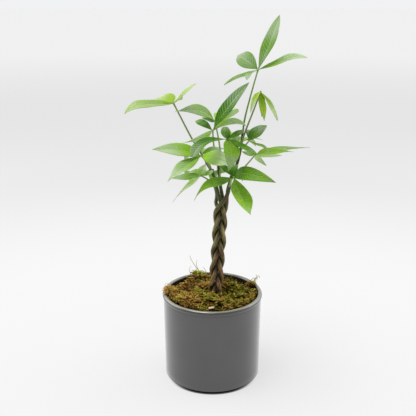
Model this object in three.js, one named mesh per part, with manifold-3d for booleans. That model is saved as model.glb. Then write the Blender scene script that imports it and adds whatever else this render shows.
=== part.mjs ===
// A potted money tree: five stems plaited into one trunk, hand-shaped leaves, moss and a plain cylinder pot.
// Millimetres, +Z up, the origin at the centre of the pot's flat base. The viewer of the photograph is at -Y.
import * as THREE from "three";
import { mergeVertices } from "three/addons/utils/BufferGeometryUtils.js";
import Module from "manifold-3d";

const wasm = await Module();
wasm.setup();

// Driving dimensions of the pot and what fills it.
const POT_DIAMETER = 129;
const POT_NECK_DIAMETER = 125.6;
const POT_BASE_DIAMETER = 124;
const POT_HEIGHT = 114;
const POT_WALL = 6;
const POT_FLOOR = 7;
const POT_CHAMFER = 2;
const POT_SEGMENTS = 48;
const SOIL_SEGMENTS = 36;
const MOSS_SEGMENTS = 38;
const MOSS_RINGS = 7;
const GAP = 0.3;
const SOIL_TOP = 100;
const MOSS_THICKNESS = 12;
const MOSS_EDGE_THICKNESS = 8;
const MOSS_RELIEF = 1.6;
const MOSS_HOLE_RADIUS = 10.6;

// The larger cushions of the moss: their place, their reach and how far they rise above the rest.
const MOSS_CUSHIONS = [
  { x: -24, y: 44, reach: 14, rise: 6.5 },
  { x: -6, y: 50, reach: 12, rise: 7 },
  { x: -44, y: 4, reach: 13, rise: 4 },
  { x: -30, y: -30, reach: 14, rise: 2.5 },
  { x: 2, y: -34, reach: 13, rise: 2.5 },
  { x: 36, y: -22, reach: 13, rise: 3.5 },
  { x: 46, y: 10, reach: 11, rise: 3 },
  { x: 24, y: 28, reach: 11, rise: 1.5 },
];

// Driving dimensions of the plaited trunk.
const STRANDS = 5;
const STRAND_RADIUS = 2.65;
const PLAIT_PITCH = 122.5;
const PLAIT_LEFT_AT = 217.5;
const PLAIT_SIDE = 5.9;
const PLAIT_POINT = 0.1;
const PLAIT_DEPTH = 5.5;
const PLAIT_FOOT_X = 3.4;
const PLAIT_LEAN = 0.056;
const PLAIT_LOW = 98;
const PLAIT_HIGH = 224;
const ROOT_DEPTH = 58;
const ROOT_SPREAD = 1.75;
const PLAIT_STEP = 6;
const STRAND_STEP = 4.8;

// Driving dimensions of the leaves.
const BLADE_THICKNESS = 0.7;
const BLADE_FOLD = 0.22;
const BLADE_ROWS = 8;
const WAVE = 0.035;
const ROOT_SHARE = 0.02;
const HOOK_FROM = 0.55;
const LEAST_HALF_WIDTH = 0.7;
const TIP_THINNING = 0.6;
const STALK_RADIUS = 1.05;
const STALK_SIDES = 5;
const STALK_STEP = 11;
const HUB_RADIUS = 1.7;

const X_AXIS = new THREE.Vector3(1, 0, 0);

// The upper face of a blade looks up, where its entry doesn't say otherwise.
const UP = [0, 0, 1];

const material = (color, roughness) =>
  new THREE.MeshStandardMaterial({ color, roughness, metalness: 0 });
const CERAMIC = material(0x5c5c5e, 0.55);
const EARTH = material(0x2c2018, 1);
const MOSS = material(0x7d6a2a, 1);
const BARK = material(0x66583a, 0.8);
const LEAF = material(0x4f8f34, 0.45);
const YOUNG_LEAF = material(0x86b83f, 0.45);

// A closed geometry as a solid that can be joined and cut.
function solidOf(geometry) {
  const bare = geometry.clone();
  bare.deleteAttribute("normal");
  bare.deleteAttribute("uv");
  const merged = mergeVertices(bare, 1e-4);
  const mesh = new wasm.Mesh({
    numProp: 3,
    vertProperties: merged.getAttribute("position").array,
    triVerts: new Uint32Array(merged.index.array),
  });
  return new wasm.Manifold(mesh);
}

// A solid back as a geometry.
function geometryOf(solid) {
  const { vertProperties, triVerts } = solid.getMesh();
  const geometry = new THREE.BufferGeometry();
  geometry.setAttribute("position", new THREE.BufferAttribute(vertProperties, 3));
  geometry.setIndex(new THREE.BufferAttribute(triVerts, 1));
  return geometry;
}

const join = (solids) => solids.reduce((sum, next) => sum.add(next));

// A profile of radius and height turned round the Z axis.
function turned(profile, segments) {
  const points = profile.map(([radius, height]) => new THREE.Vector2(radius, height));
  return new THREE.LatheGeometry(points, segments).rotateX(Math.PI / 2);
}

// The points of a round edge, from one angle to another in degrees.
function roundEdge(radius, height, size, from, to, steps) {
  return Array.from({ length: steps + 1 }, (_, i) => {
    const angle = THREE.MathUtils.degToRad(from + ((to - from) * i) / steps);
    return [radius + size * Math.cos(angle), height + size * Math.sin(angle)];
  });
}

// A tapering round rod bent along a curve: radiusAt gives its radius from 0 at the start to 1 at the end.
function rod(curve, radiusAt, sides, steps) {
  const geometry = new THREE.CylinderGeometry(1, 1, 1, sides, steps);
  const position = geometry.getAttribute("position");
  const point = new THREE.Vector3();
  for (let i = 0; i < position.count; i += 1) {
    point.fromBufferAttribute(position, i);
    const along = point.y + 0.5;
    const tangent = curve.getTangentAt(along);
    const across = new THREE.Vector3().crossVectors(tangent, X_AXIS).normalize();
    const side = new THREE.Vector3().crossVectors(across, tangent);
    const radius = radiusAt(along);
    const place = curve.getPointAt(along);
    place.addScaledVector(side, point.x * radius);
    place.addScaledVector(across, -point.z * radius);
    position.setXYZ(i, place.x, place.y, place.z);
  }
  return geometry;
}

// The pot: a plain cylinder with a slight taper, a round lip that stands proud and a chamfered flat base.
function pot() {
  const foot = POT_BASE_DIAMETER / 2;
  const lip = POT_WALL / 2;
  const rim = POT_DIAMETER / 2 - lip;
  const profile = [
    [0, 0],
    [foot - POT_CHAMFER, 0],
    [foot - POT_CHAMFER * 0.3, POT_CHAMFER * 0.3],
    [foot, POT_CHAMFER],
    [POT_NECK_DIAMETER / 2, POT_HEIGHT - 2 * lip - 1],
    ...roundEdge(rim, POT_HEIGHT - lip, lip, -45, 180, 6),
    [foot - POT_WALL, POT_FLOOR + POT_CHAMFER],
    [foot - POT_WALL - POT_CHAMFER, POT_FLOOR],
    [0, POT_FLOOR],
  ];
  return turned(profile, POT_SEGMENTS);
}

// The radius of the room inside the pot at a height.
function potRoom(height) {
  const share = (height - POT_FLOOR) / (POT_HEIGHT - POT_FLOOR);
  return (POT_BASE_DIAMETER / 2) * (1 - share) + (POT_DIAMETER / 2) * share - POT_WALL;
}

// The middle line of the trunk leans a little to the right as it rises.
const trunkX = (height) => PLAIT_FOOT_X + (height - PLAIT_LOW) * PLAIT_LEAN;

// The place of one strand of the plait: it swings from side to side once a pitch, and to front and back twice.
function plaitPoint(strand, height) {
  const turns = (height - PLAIT_LEFT_AT) / PLAIT_PITCH + strand / STRANDS - 0.25;
  const phase = turns * 2 * Math.PI;
  const side = PLAIT_SIDE * (Math.sin(phase) - PLAIT_POINT * Math.sin(3 * phase));
  const depth = PLAIT_DEPTH * Math.sin(2 * phase);
  return new THREE.Vector3(trunkX(height) + side, depth, height);
}

// Each stem above the plait, from the plait's top to the growing tip, with its radius at the tip.
const STEMS = [
  {
    name: "stem_tall",
    tip: 1.5,
    route: [
      [8.2, -6.6, 231], [15.2, -5.8, 239], [19.3, -4.4, 249], [20.8, -3, 258],
      [24, -0.5, 269], [29.5, 2, 281], [33.5, 4, 296], [35.6, 5, 310], [36.3, 5, 319],
    ],
  },
  {
    name: "stem_centre",
    tip: 1.7,
    route: [[12.8, 6, 231], [12.2, 7, 240], [10.4, 7, 250], [8.8, 6.4, 262], [7, 5.4, 279]],
  },
  {
    name: "stem_right",
    tip: 1.6,
    route: [[17.4, 1.6, 231], [18.2, 4.4, 240], [19.4, 7.5, 250], [22.5, 10, 260], [27, 14, 273]],
  },
  {
    name: "stem_left",
    tip: 1.4,
    route: [
      [11.4, -1.6, 231], [8.6, 0.2, 238], [6.8, 0, 246], [4.3, -0.6, 257],
      [1.2, -1.2, 268], [-3.6, -2.6, 278], [-8, -4, 285.5],
    ],
  },
  {
    name: "stem_back",
    tip: 1.4,
    route: [[4.6, 5.9, 231], [5.4, 7.4, 240], [4.8, 9.4, 249], [2.4, 12, 259], [0, 17, 272]],
  },
];

// The middle line of a whole strand: rooted foot, plait and stem.
function strandCurve(strand) {
  const bottom = plaitPoint(strand, PLAIT_LOW);
  const points = [];
  for (const share of [1, 0.66, 0.33]) {
    const spread = 1 + (ROOT_SPREAD - 1) * share;
    const x = trunkX(PLAIT_LOW) + (bottom.x - trunkX(PLAIT_LOW)) * spread;
    points.push(new THREE.Vector3(x, bottom.y * spread, PLAIT_LOW - (PLAIT_LOW - ROOT_DEPTH) * share));
  }
  for (let height = PLAIT_LOW; height <= PLAIT_HIGH; height += PLAIT_STEP) {
    points.push(plaitPoint(strand, height));
  }
  for (const place of STEMS[strand].route) {
    points.push(new THREE.Vector3(...place));
  }
  const curve = new THREE.CatmullRomCurve3(points, false, "centripetal");
  curve.arcLengthDivisions = 600;
  return curve;
}

// A strand keeps its thickness up to the top of the plait and then thins towards its tip.
function strandGeometry(strand, extra = 0) {
  const curve = strandCurve(strand);
  const length = curve.getLength();
  const plaited = (PLAIT_HIGH - ROOT_DEPTH) / length;
  const tip = STEMS[strand].tip;
  const radiusAt = (along) => {
    const past = THREE.MathUtils.smoothstep(along, plaited * 0.97, 1);
    return THREE.MathUtils.lerp(STRAND_RADIUS, tip, past) + extra;
  };
  return rod(curve, radiusAt, 8, Math.round(length / STRAND_STEP));
}

// The soil fills the pot, with a shallow well round the foot of the trunk and a plain hole for each strand.
function soil(strandHoles) {
  const bottom = POT_FLOOR + GAP;
  const corner = POT_CHAMFER + GAP;
  const profile = [
    [0, bottom],
    [potRoom(bottom) - corner - GAP, bottom],
    [potRoom(bottom + corner) - GAP, bottom + corner],
    [potRoom(SOIL_TOP) - GAP, SOIL_TOP],
    [0, SOIL_TOP],
  ];
  const well = turned([[0, 86], [9, 86], [MOSS_HOLE_RADIUS, SOIL_TOP + 5], [0, SOIL_TOP + 5]], 20);
  well.translate(trunkX(PLAIT_LOW), 0, 0);
  const cuts = join([solidOf(well), ...strandHoles]);
  return geometryOf(solidOf(turned(profile, SOIL_SEGMENTS)).subtract(cuts));
}

// The height of the moss above the soil: a lumpy cushion that is lower at the pot's wall.
function mossHeight(radius, angle) {
  const outward = radius / potRoom(SOIL_TOP);
  let mound = THREE.MathUtils.lerp(MOSS_THICKNESS, MOSS_EDGE_THICKNESS, outward ** 3);
  const x = radius * Math.cos(angle);
  const y = radius * Math.sin(angle);
  for (const cushion of MOSS_CUSHIONS) {
    const away = Math.hypot(x - cushion.x, y - cushion.y) / cushion.reach;
    mound += cushion.rise * Math.exp(-away * away);
  }
  const wide = Math.sin(x * 0.21 + 1.3) * Math.cos(y * 0.24 - 0.6);
  const fine = Math.sin(x * 0.52 - y * 0.31 + 0.8) * Math.cos(y * 0.47 + x * 0.22);
  return mound + MOSS_RELIEF * (0.6 * wide + 0.5 * fine);
}

// The moss: a ring of matted cushions round the trunk, raised by a formula.
function moss() {
  const inner = MOSS_HOLE_RADIUS;
  const outer = potRoom(SOIL_TOP + GAP) - GAP;
  const low = SOIL_TOP + GAP;
  const profile = [[inner, low]];
  for (let i = 0; i <= MOSS_RINGS; i += 1) {
    profile.push([inner + ((outer - inner) * i) / MOSS_RINGS, low + MOSS_EDGE_THICKNESS]);
  }
  profile.push([outer, low], [inner, low]);
  const geometry = turned(profile.reverse(), MOSS_SEGMENTS);
  const position = geometry.getAttribute("position");
  for (let i = 0; i < position.count; i += 1) {
    const x = position.getX(i);
    const y = position.getY(i);
    if (position.getZ(i) > low + 1) {
      const radius = Math.hypot(x, y);
      position.setZ(i, low + mossHeight(radius, Math.atan2(y, x)));
    }
    const nearTrunk = THREE.MathUtils.smoothstep(outer - Math.hypot(x, y), 0, outer - inner);
    position.setX(i, x + nearTrunk * trunkX(SOIL_TOP));
  }
  return geometry;
}

// A leaflet that says no more than its tip and width is like this one.
const USUAL_LEAFLET = { arch: 0.15, face: UP, bend: 0.45, widest: 0.52, full: 1.15, hook: 0.03 };

// The half width of a blade along its length: narrow at the root, widest near the middle, pointed at the tip.
function halfWidth(along, { width, widest, full }) {
  const fall = (full * (1 - widest)) / widest;
  const shape = (along / widest) ** full * ((1 - along) / (1 - widest)) ** fall;
  return Math.max((width / 2) * shape, LEAST_HALF_WIDTH * (1 - TIP_THINNING * along));
}

// One leaflet: a thin blade folded a little along its midrib, arched from the hub, with a tip that hooks down.
function leaflet(hub, given, seed) {
  const shape = { ...USUAL_LEAFLET, ...given };
  const tip = new THREE.Vector3(...shape.tip);
  const root = new THREE.Vector3(...hub).lerp(tip, ROOT_SHARE);
  const droop = shape.hook * tip.distanceTo(root);
  const end = tip.clone().setZ(tip.z + droop);
  const chord = end.clone().sub(root);
  const across = new THREE.Vector3().crossVectors(chord, new THREE.Vector3(...shape.face)).normalize();
  const lift = new THREE.Vector3().crossVectors(across, chord).normalize();
  const middle = root.clone().lerp(end, shape.bend);
  middle.addScaledVector(lift, shape.arch * tip.distanceTo(root));
  const midrib = new THREE.QuadraticBezierCurve3(root, middle, end);

  const place = (u, v, below) => {
    const along = v + 0.5;
    const nod = Math.max(along - HOOK_FROM, 0) / (1 - HOOK_FROM);
    const point = midrib.getPoint(along);
    point.z -= droop * nod * nod;
    const tangent = middle.clone().sub(root).multiplyScalar(1 - along);
    tangent.addScaledVector(end.clone().sub(middle), along);
    tangent.z -= (droop * nod) / (1 - HOOK_FROM);
    const normal = new THREE.Vector3().crossVectors(across, tangent).normalize();
    const half = halfWidth(along, shape);
    const edge = Math.abs(2 * u);
    const wave = WAVE * shape.width * edge * Math.sin(along * 9 + seed * 2.1 + Math.sign(u) * 0.9);
    point.addScaledVector(across, 2 * u * half);
    point.addScaledVector(normal, BLADE_FOLD * half * edge + wave * Math.sin(along * Math.PI));
    return point.addScaledVector(normal, below ? -BLADE_THICKNESS : 0);
  };

  const top = new THREE.PlaneGeometry(1, 1, 2, BLADE_ROWS);
  return closedSheet(top, place);
}

// A flat grid and its copy below, joined round the edge into one closed thin sheet.
function closedSheet(grid, place) {
  const { array, count } = grid.getAttribute("position");
  const vertices = [];
  for (const below of [false, true]) {
    for (let i = 0; i < count; i += 1) {
      vertices.push(...place(array[3 * i], array[3 * i + 1], below));
    }
  }
  const faces = Array.from(grid.index.array);
  const triangles = [...faces];
  const edges = new Set();
  for (let i = 0; i < faces.length; i += 3) {
    const [a, b, c] = faces.slice(i, i + 3);
    triangles.push(a + count, c + count, b + count);
    for (const [from, to] of [[a, b], [b, c], [c, a]]) {
      edges.add(`${from} ${to}`);
    }
  }
  for (const edge of edges) {
    const [from, to] = edge.split(" ").map(Number);
    if (!edges.has(`${to} ${from}`)) {
      triangles.push(from, from + count, to + count, from, to + count, to);
    }
  }
  const sheet = new THREE.BufferGeometry();
  sheet.setAttribute("position", new THREE.Float32BufferAttribute(vertices, 3));
  sheet.setIndex(triangles);
  return sheet;
}

// Each leaf: the strand that it grows from, its leaf stalk's route to the hub, and its leaflets.
const LEAVES = [
  {
    name: "leaf_top",
    strand: 0,
    stalk: [[35.8, 5, 312], [38.5, 7, 335], [46, 10, 366], [54, 12, 395]],
    leaflets: [
      {
        tip: [80, 36, 457], width: 22, arch: -0.05,
        face: [-0.7, -0.5, 0.5], bend: 0.6, widest: 0.5, full: 1, hook: 0,
      },
      {
        tip: [114.5, 27, 407.5], width: 14, arch: -0.05,
        face: [-0.1, -0.4, 0.9], widest: 0.63, full: 1, hook: 0.17,
      },
      {
        tip: [31.5, 78, 405], width: 20.5, arch: 0.3,
        face: [-0.7, -0.3, 0.7], widest: 0.33, full: 1.25, hook: 0,
      },
      {
        tip: [13.5, 18, 376], width: 9, arch: -0.05,
        face: [-0.3, 0.6, 0.8], bend: 0.35, widest: 0.6, full: 1.1, hook: 0.12,
      },
      {
        tip: [37.5, -43, 388.5], width: 11, arch: 0.05,
        face: [-0.4, 0, 0.9], bend: 0.6, widest: 0.57, full: 1.3, hook: 0.04,
      },
    ],
  },
  {
    name: "leaf_drooping",
    strand: 0,
    stalk: [[35, 4.6, 306], [39, -1, 322], [47, -5, 345], [56, -8, 371]],
    young: true,
    leaflets: [
      {
        tip: [42.5, -37, 351], width: 6, arch: 0.32,
        face: [-0.1, -0.5, 0.9], bend: 0.47, full: 1.05, hook: 0.05,
      },
      { tip: [59.5, -29.5, 340.5], width: 9, arch: -0.03, face: [0.3, -0.8, 0.6], widest: 0.5, hook: 0.05 },
      {
        tip: [76, -16.5, 338.5], width: 10.5, arch: 0.08,
        face: [0.7, -0.4, 0.6], bend: 0.35, widest: 0.6, full: 0.9, hook: 0.04,
      },
      { tip: [60, 14, 338], width: 8, arch: 0.3 },
    ],
  },
  {
    name: "leaf_far_left",
    strand: 3,
    stalk: [[-5, -3.2, 281], [-13, -5, 295], [-24, -8, 314], [-46, -15, 359]],
    young: true,
    leaflets: [
      {
        tip: [-101.5, -32, 349], width: 17.5, arch: 0,
        face: [0, -0.4, 0.9], bend: 0.65, widest: 0.48, full: 0.75, hook: 0.16,
      },
      {
        tip: [-71.5, 13.5, 359.5], width: 22.5, face: [-0.2, -0.2, 0.9],
        bend: 0.37, widest: 0.35, full: 0.9, hook: 0.04,
      },
      {
        tip: [-19.5, -18, 382], width: 9, arch: -0.05,
        face: [-0.6, -0.3, 0.7], bend: 0.4, widest: 0.57, full: 1.2, hook: 0.08,
      },
      {
        tip: [-38, 38, 356], width: 10, arch: -0.05,
        face: [-0.7, 0.1, 0.7], bend: 0.4, widest: 0.65, full: 1.4, hook: 0.12,
      },
    ],
  },
  {
    name: "leaf_high_front",
    strand: 1,
    stalk: [[7, 5.4, 276], [4.5, 3, 290], [1.2, -3, 308], [0, -8, 325.5]],
    leaflets: [
      {
        tip: [43, 2, 381], width: 22, arch: 0.07,
        face: [-0.6, -0.5, 0.6], bend: 0.4, widest: 0.54, hook: 0,
      },
      {
        tip: [39, -19, 333], width: 12.5, arch: 0.4,
        face: [0, 0.7, 0.7], bend: 0.6, widest: 0.67, full: 1.2, hook: 0,
      },
      {
        tip: [-35, -45, 317.5], width: 8, arch: 0.25,
        face: [0.7, -0.7, 0], widest: 0.4, full: 1.1, hook: 0,
      },
      {
        tip: [-22, 36, 329], width: 10.5, arch: 0.13,
        face: [-0.4, -0.3, 0.9], bend: 0.58, widest: 0.47, full: 1.25, hook: 0.02,
      },
      {
        tip: [33, 41, 341], width: 14, arch: 0,
        face: [-0.8, 0.4, 0.5], bend: 0.6, widest: 0.68, full: 1.3, hook: 0.05,
      },
    ],
  },
  {
    name: "leaf_high_back",
    strand: 1,
    stalk: [[7.8, 6, 270], [10, 11, 286], [8, 15, 307], [2.7, 18, 333]],
    leaflets: [
      {
        tip: [-44, -19, 349.5], width: 20, arch: 0.28,
        face: [0.6, -0.4, 0.7], bend: 0.44, widest: 0.43, full: 1.3,
      },
      {
        tip: [-14, 66, 329.5], width: 9, arch: -0.1,
        face: [0.6, 0.3, 0.7], bend: 0.6, widest: 0.31, full: 0.8, hook: 0.02,
      },
      { tip: [20, 78, 320], width: 17, arch: 0.25 },
    ],
  },
  {
    name: "leaf_front",
    strand: 1,
    stalk: [[8.4, 6.2, 265], [10.5, -4, 281], [14, -22, 304], [16, -42, 322]],
    leaflets: [
      {
        tip: [17.5, -70, 338.5], width: 7, arch: -0.03,
        face: [0.6, 0.4, 0.7], bend: 0.4, widest: 0.56, full: 1, hook: 0.05,
      },
      {
        tip: [13.5, -9.5, 330], width: 10.5, arch: 0.2,
        face: [-0.2, -0.2, 0.9], bend: 0.5, widest: 0.33, full: 0.8, hook: 0.04,
      },
      {
        tip: [36, -26.5, 329], width: 6.5, arch: -0.06,
        face: [0.3, -0.7, 0.6], bend: 0.47, widest: 0.6, full: 1.2,
      },
      {
        tip: [48.5, -68.5, 309.5], width: 8, arch: 0.06,
        face: [0, -0.5, 0.9], bend: 0.35, widest: 0.65, full: 1.05, hook: 0,
      },
      {
        tip: [17.5, -68, 290], width: 20.5, arch: 0.43,
        face: [0.4, -0.7, 0.6], bend: 0.47, widest: 0.48, full: 1.2, hook: 0.04,
      },
      {
        tip: [-23, -61, 304.5], width: 21, arch: 0.39,
        face: [-0.3, -0.3, 0.9], bend: 0.65, widest: 0.65, hook: 0,
      },
    ],
  },
  {
    name: "leaf_left_front",
    strand: 3,
    stalk: [[-3, -2.4, 277], [-6, -10, 286], [-10, -19, 293], [-14, -28, 299]],
    leaflets: [
      {
        tip: [-71, -29, 307], width: 18, arch: 0.23,
        face: [0.1, -0.7, 0.7], bend: 0.32, widest: 0.47, full: 0.95, hook: 0,
      },
      {
        tip: [-51.5, -63.5, 277], width: 17.5, arch: 0.03,
        face: [-0.1, -0.5, 0.9], bend: 0.54, widest: 0.44, hook: 0.06,
      },
      {
        tip: [18, -58.5, 297], width: 18.5, arch: 0.14,
        face: [-0.5, -0.6, 0.6], bend: 0.54, widest: 0.6, full: 1.2, hook: 0.05,
      },
      {
        tip: [10, -19, 303], width: 9.5, arch: 0.45,
        face: [0, -0.4, 0.9], widest: 0.67, full: 1.2, hook: 0,
      },
      { tip: [-50, -2, 305], width: 12, arch: 0.12 },
    ],
  },
  {
    name: "leaf_left_low",
    strand: 4,
    stalk: [[3, 9.8, 252], [-3, 10.5, 258], [-9, 11.5, 262], [-15, 12, 265]],
    leaflets: [
      {
        tip: [-8.5, 18, 278], width: 11.5, arch: 0.26,
        face: [-0.3, -0.8, 0.5], bend: 0.31, widest: 0.43, full: 0.8, hook: 0.02,
      },
      {
        tip: [-52, 30.5, 257], width: 12, arch: -0.03,
        face: [-0.4, -0.4, 0.8], bend: 0.4, widest: 0.48, full: 0.85, hook: 0.01,
      },
      {
        tip: [-50, 3.5, 232.5], width: 7, arch: 0.04,
        face: [-0.4, -0.7, 0.6], bend: 0.48, widest: 0.32, full: 1.2, hook: 0.09,
      },
      {
        tip: [0.5, -26, 279.5], width: 6, arch: -0.09,
        face: [-0.8, -0.2, 0.5], bend: 0.5, widest: 0.67, full: 1.25, hook: 0.04,
      },
      { tip: [-36, 52, 256], width: 14, arch: 0.2 },
    ],
  },
  {
    name: "leaf_right_front",
    strand: 0,
    stalk: [[20.2, -3.6, 254], [21.5, -12, 262], [23, -22, 269], [25, -32, 274]],
    leaflets: [
      {
        tip: [69.5, -80, 280.5], width: 17, arch: 0.46,
        face: [-0.6, -0.5, 0.6], bend: 0.43, widest: 0.51, full: 1.05, hook: 0,
      },
      {
        tip: [42, -82, 244], width: 24, arch: -0.09,
        face: [0.3, -0.4, 0.9], widest: 0.5, full: 1.2, hook: 0.02,
      },
      {
        tip: [-21, -80.5, 260], width: 13, arch: 0.02,
        face: [0.3, -0.5, 0.8], bend: 0.65, widest: 0.4, full: 1.3, hook: 0.2,
      },
      {
        tip: [7.5, -20.5, 286], width: 9, arch: 0.16,
        face: [0.2, -0.6, 0.8], bend: 0.5, widest: 0.56, full: 1.3,
      },
      {
        tip: [30.5, -16, 286], width: 13, arch: 0.27,
        face: [-0.6, -0.3, 0.7], bend: 0.43, widest: 0.42, full: 0.85, hook: 0.07,
      },
    ],
  },
  {
    name: "leaf_right_high",
    strand: 0,
    stalk: [[34.2, 4.3, 299], [38, 1, 304], [41, -2, 308], [44, -5, 312.5]],
    leaflets: [
      {
        tip: [65.5, 3.5, 329.5], width: 19, arch: 0.14,
        face: [-0.4, -0.5, 0.8], bend: 0.38, full: 1.05, hook: 0,
      },
      {
        tip: [68.5, 2, 297], width: 8, arch: -0.04,
        face: [0.2, 0.5, 0.9], bend: 0.6, widest: 0.6, full: 1.25, hook: 0.16,
      },
      { tip: [36, -18, 317], width: 7, arch: 0.1 },
      { tip: [48, 34, 318], width: 10, arch: 0.2 },
    ],
  },
  {
    name: "leaf_far_right",
    strand: 2,
    stalk: [[23.6, 10.8, 263], [31, 11, 266], [42, 16, 277], [55, 30, 288.5]],
    leaflets: [
      {
        tip: [97.5, -5.5, 299], width: 13.5, arch: 0.07,
        face: [0.4, 0.6, 0.7], bend: 0.4, widest: 0.4, hook: 0.02,
      },
      {
        tip: [121.5, 24, 298.5], width: 12, arch: 0.06,
        face: [0, 0.7, 0.7], bend: 0.35, widest: 0.38, full: 0.95, hook: 0,
      },
      {
        tip: [94.5, 85.5, 274.5], width: 15, arch: -0.1,
        face: [-0.3, 0.4, 0.9], bend: 0.48, widest: 0.46, full: 1.1, hook: 0.02,
      },
      {
        tip: [71.5, 61.5, 265.5], width: 7.5, arch: 0.3,
        face: [-0.8, 0.6, 0.2], bend: 0.55, widest: 0.53, full: 1.05, hook: 0.07,
      },
      {
        tip: [38.5, 46.5, 288], width: 6, arch: -0.33,
        face: [0.7, 0.7, 0.3], bend: 0.3, full: 0.8, hook: 0.04,
      },
    ],
  },
  {
    name: "leaf_back_left",
    strand: 4,
    stalk: [[0.6, 14.4, 266], [-3, 27, 274], [-6, 40, 280], [-8, 52, 283]],
    leaflets: [
      { tip: [-50, 66, 283], width: 17, arch: 0.2 },
      { tip: [-38, 98, 264], width: 18, arch: 0.25 },
      { tip: [-2, 112, 262], width: 19, arch: 0.3 },
      { tip: [30, 88, 276], width: 16, arch: 0.25 },
      { tip: [-30, 30, 290], width: 13 },
    ],
  },
  {
    name: "leaf_back_right",
    strand: 2,
    stalk: [[25.6, 12.6, 269], [27, 24, 280], [27, 38, 289], [26, 50, 294]],
    leaflets: [
      { tip: [66, 62, 300], width: 15, arch: 0.25 },
      { tip: [60, 100, 284], width: 18, arch: 0.25 },
      { tip: [30, 114, 300], width: 18, arch: 0.2 },
      { tip: [34, 24, 312], width: 12, arch: 0.1 },
    ],
  },
  {
    name: "leaf_back_low",
    strand: 4,
    stalk: [[4.4, 8, 244], [2, 20, 250], [4, 34, 256], [6, 46, 258]],
    leaflets: [
      { tip: [-32, 74, 240], width: 16, arch: 0.25 },
      { tip: [0, 102, 232], width: 18, arch: 0.3 },
      { tip: [42, 80, 240], width: 16, arch: 0.25 },
      { tip: [38, 46, 262], width: 13, arch: 0.25 },
      { tip: [-24, 38, 252], width: 12, arch: 0.2 },
    ],
  },
];

// A whole leaf: its stalk starts in the stem and is cut off just clear of the bark. Loose scraps are dropped.
function leafGeometry(leaf, strandHoles) {
  const hub = leaf.stalk.at(-1);
  const route = new THREE.CatmullRomCurve3(leaf.stalk.map((place) => new THREE.Vector3(...place)));
  const stalkRadius = (along) => STALK_RADIUS * (1.15 - 0.3 * along);
  const steps = Math.max(3, Math.round(route.getLength() / STALK_STEP));
  const knob = new THREE.IcosahedronGeometry(HUB_RADIUS, 0);
  knob.translate(...hub);
  const pieces = [solidOf(rod(route, stalkRadius, STALK_SIDES, steps)), solidOf(knob)];
  leaf.leaflets.forEach((shape, i) => pieces.push(solidOf(leaflet(hub, shape, i))));
  const bodies = join(pieces).subtract(strandHoles[leaf.strand]).decompose();
  return geometryOf(bodies.sort((a, b) => b.volume() - a.volume())[0]);
}

const group = new THREE.Group();
group.name = "potted_money_tree";

function place(name, geometry, look) {
  const mesh = new THREE.Mesh(geometry, look);
  mesh.name = name;
  group.add(mesh);
}

const strandHoles = STEMS.map((_, i) => solidOf(strandGeometry(i, GAP)));

place("pot", pot(), CERAMIC);
place("soil", soil(strandHoles), EARTH);
place("moss", moss(), MOSS);
STEMS.forEach((stem, i) => place(stem.name, strandGeometry(i), BARK));
for (const leaf of LEAVES) {
  place(leaf.name, leafGeometry(leaf, strandHoles), leaf.young ? YOUNG_LEAF : LEAF);
}

export default group;
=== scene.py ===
"""The finished look of a potted money tree: glazed pot, soil, moss, plaited bark and veined leaves.

Places and sizes are in millimetres, as in the part's source. Every finished mesh is in metres.
"""

import math
import random
from collections import namedtuple

import bmesh
import bpy
from bpy.props import FloatProperty, FloatVectorProperty, IntProperty, PointerProperty
from mathutils import Matrix, Vector, noise
from mathutils.kdtree import KDTree


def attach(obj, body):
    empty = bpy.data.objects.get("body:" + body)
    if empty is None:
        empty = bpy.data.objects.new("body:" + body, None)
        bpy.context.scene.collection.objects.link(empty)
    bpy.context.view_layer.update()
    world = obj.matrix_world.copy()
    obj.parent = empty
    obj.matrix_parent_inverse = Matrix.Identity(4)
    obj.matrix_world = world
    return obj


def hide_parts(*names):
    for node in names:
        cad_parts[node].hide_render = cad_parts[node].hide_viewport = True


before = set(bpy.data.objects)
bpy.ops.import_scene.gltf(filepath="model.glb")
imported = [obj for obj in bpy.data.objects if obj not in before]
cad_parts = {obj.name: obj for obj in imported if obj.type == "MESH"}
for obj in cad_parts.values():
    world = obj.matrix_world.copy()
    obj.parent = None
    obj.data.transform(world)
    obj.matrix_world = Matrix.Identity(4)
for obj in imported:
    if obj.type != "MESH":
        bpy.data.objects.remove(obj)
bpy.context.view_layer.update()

bl_info = {
    "name": "Potted money tree",
    "version": (1, 0, 0),
    "blender": (4, 5, 0),
    "location": "3D View > Sidebar > Money Tree",
    "description": "Dresses the solids of a potted money tree with its finished surfaces",
    "category": "Object",
}

MM = 0.001
BODY = "root"
TURN = 2 * math.pi

# The sky: how bright the camera sees it, and how bright it lights from the front and from behind.
BACKDROP = 0.92
SKY_FRONT = 0.32
SKY_BEHIND = 0.92

# Two soft lamps behind the plant, each with name, place in metres and watts, and a wide sun above.
LAMPS = (("light_left", (-1.3, 0.5, 0.85), 9), ("light_right", (1.3, 0.5, 0.85), 8))
LAMP_SIZE = 1.5
LAMP_AIM = (0, 0, 0.25)
SUN_STRENGTH = 1.55
SUN_ANGLE = math.radians(34)
SUN_WAY = (0.22, 0.1, -1)

# How much darker the floor is painted about a metre away, a painted fall-off of the light round the plant.
FLOOR_FADE = 0.115

# The pot and what fills it, as in the part's source.
POT_WALL = 6
POT_FLOOR = 7
POT_CHAMFER = 2
SOIL_TOP = 100
MOSS_THICKNESS = 12
MOSS_EDGE_THICKNESS = 8
MOSS_RELIEF = 1.6

# The larger cushions of the moss, as in the part's source: place, reach and rise.
MOSS_CUSHIONS = (
    (-24, 44, 14, 6.5), (-6, 50, 12, 7), (-44, 4, 13, 4), (-30, -30, 14, 2.5),
    (2, -34, 13, 2.5), (36, -22, 13, 3.5), (46, 10, 11, 3), (24, 28, 11, 1.5),
)

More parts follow.
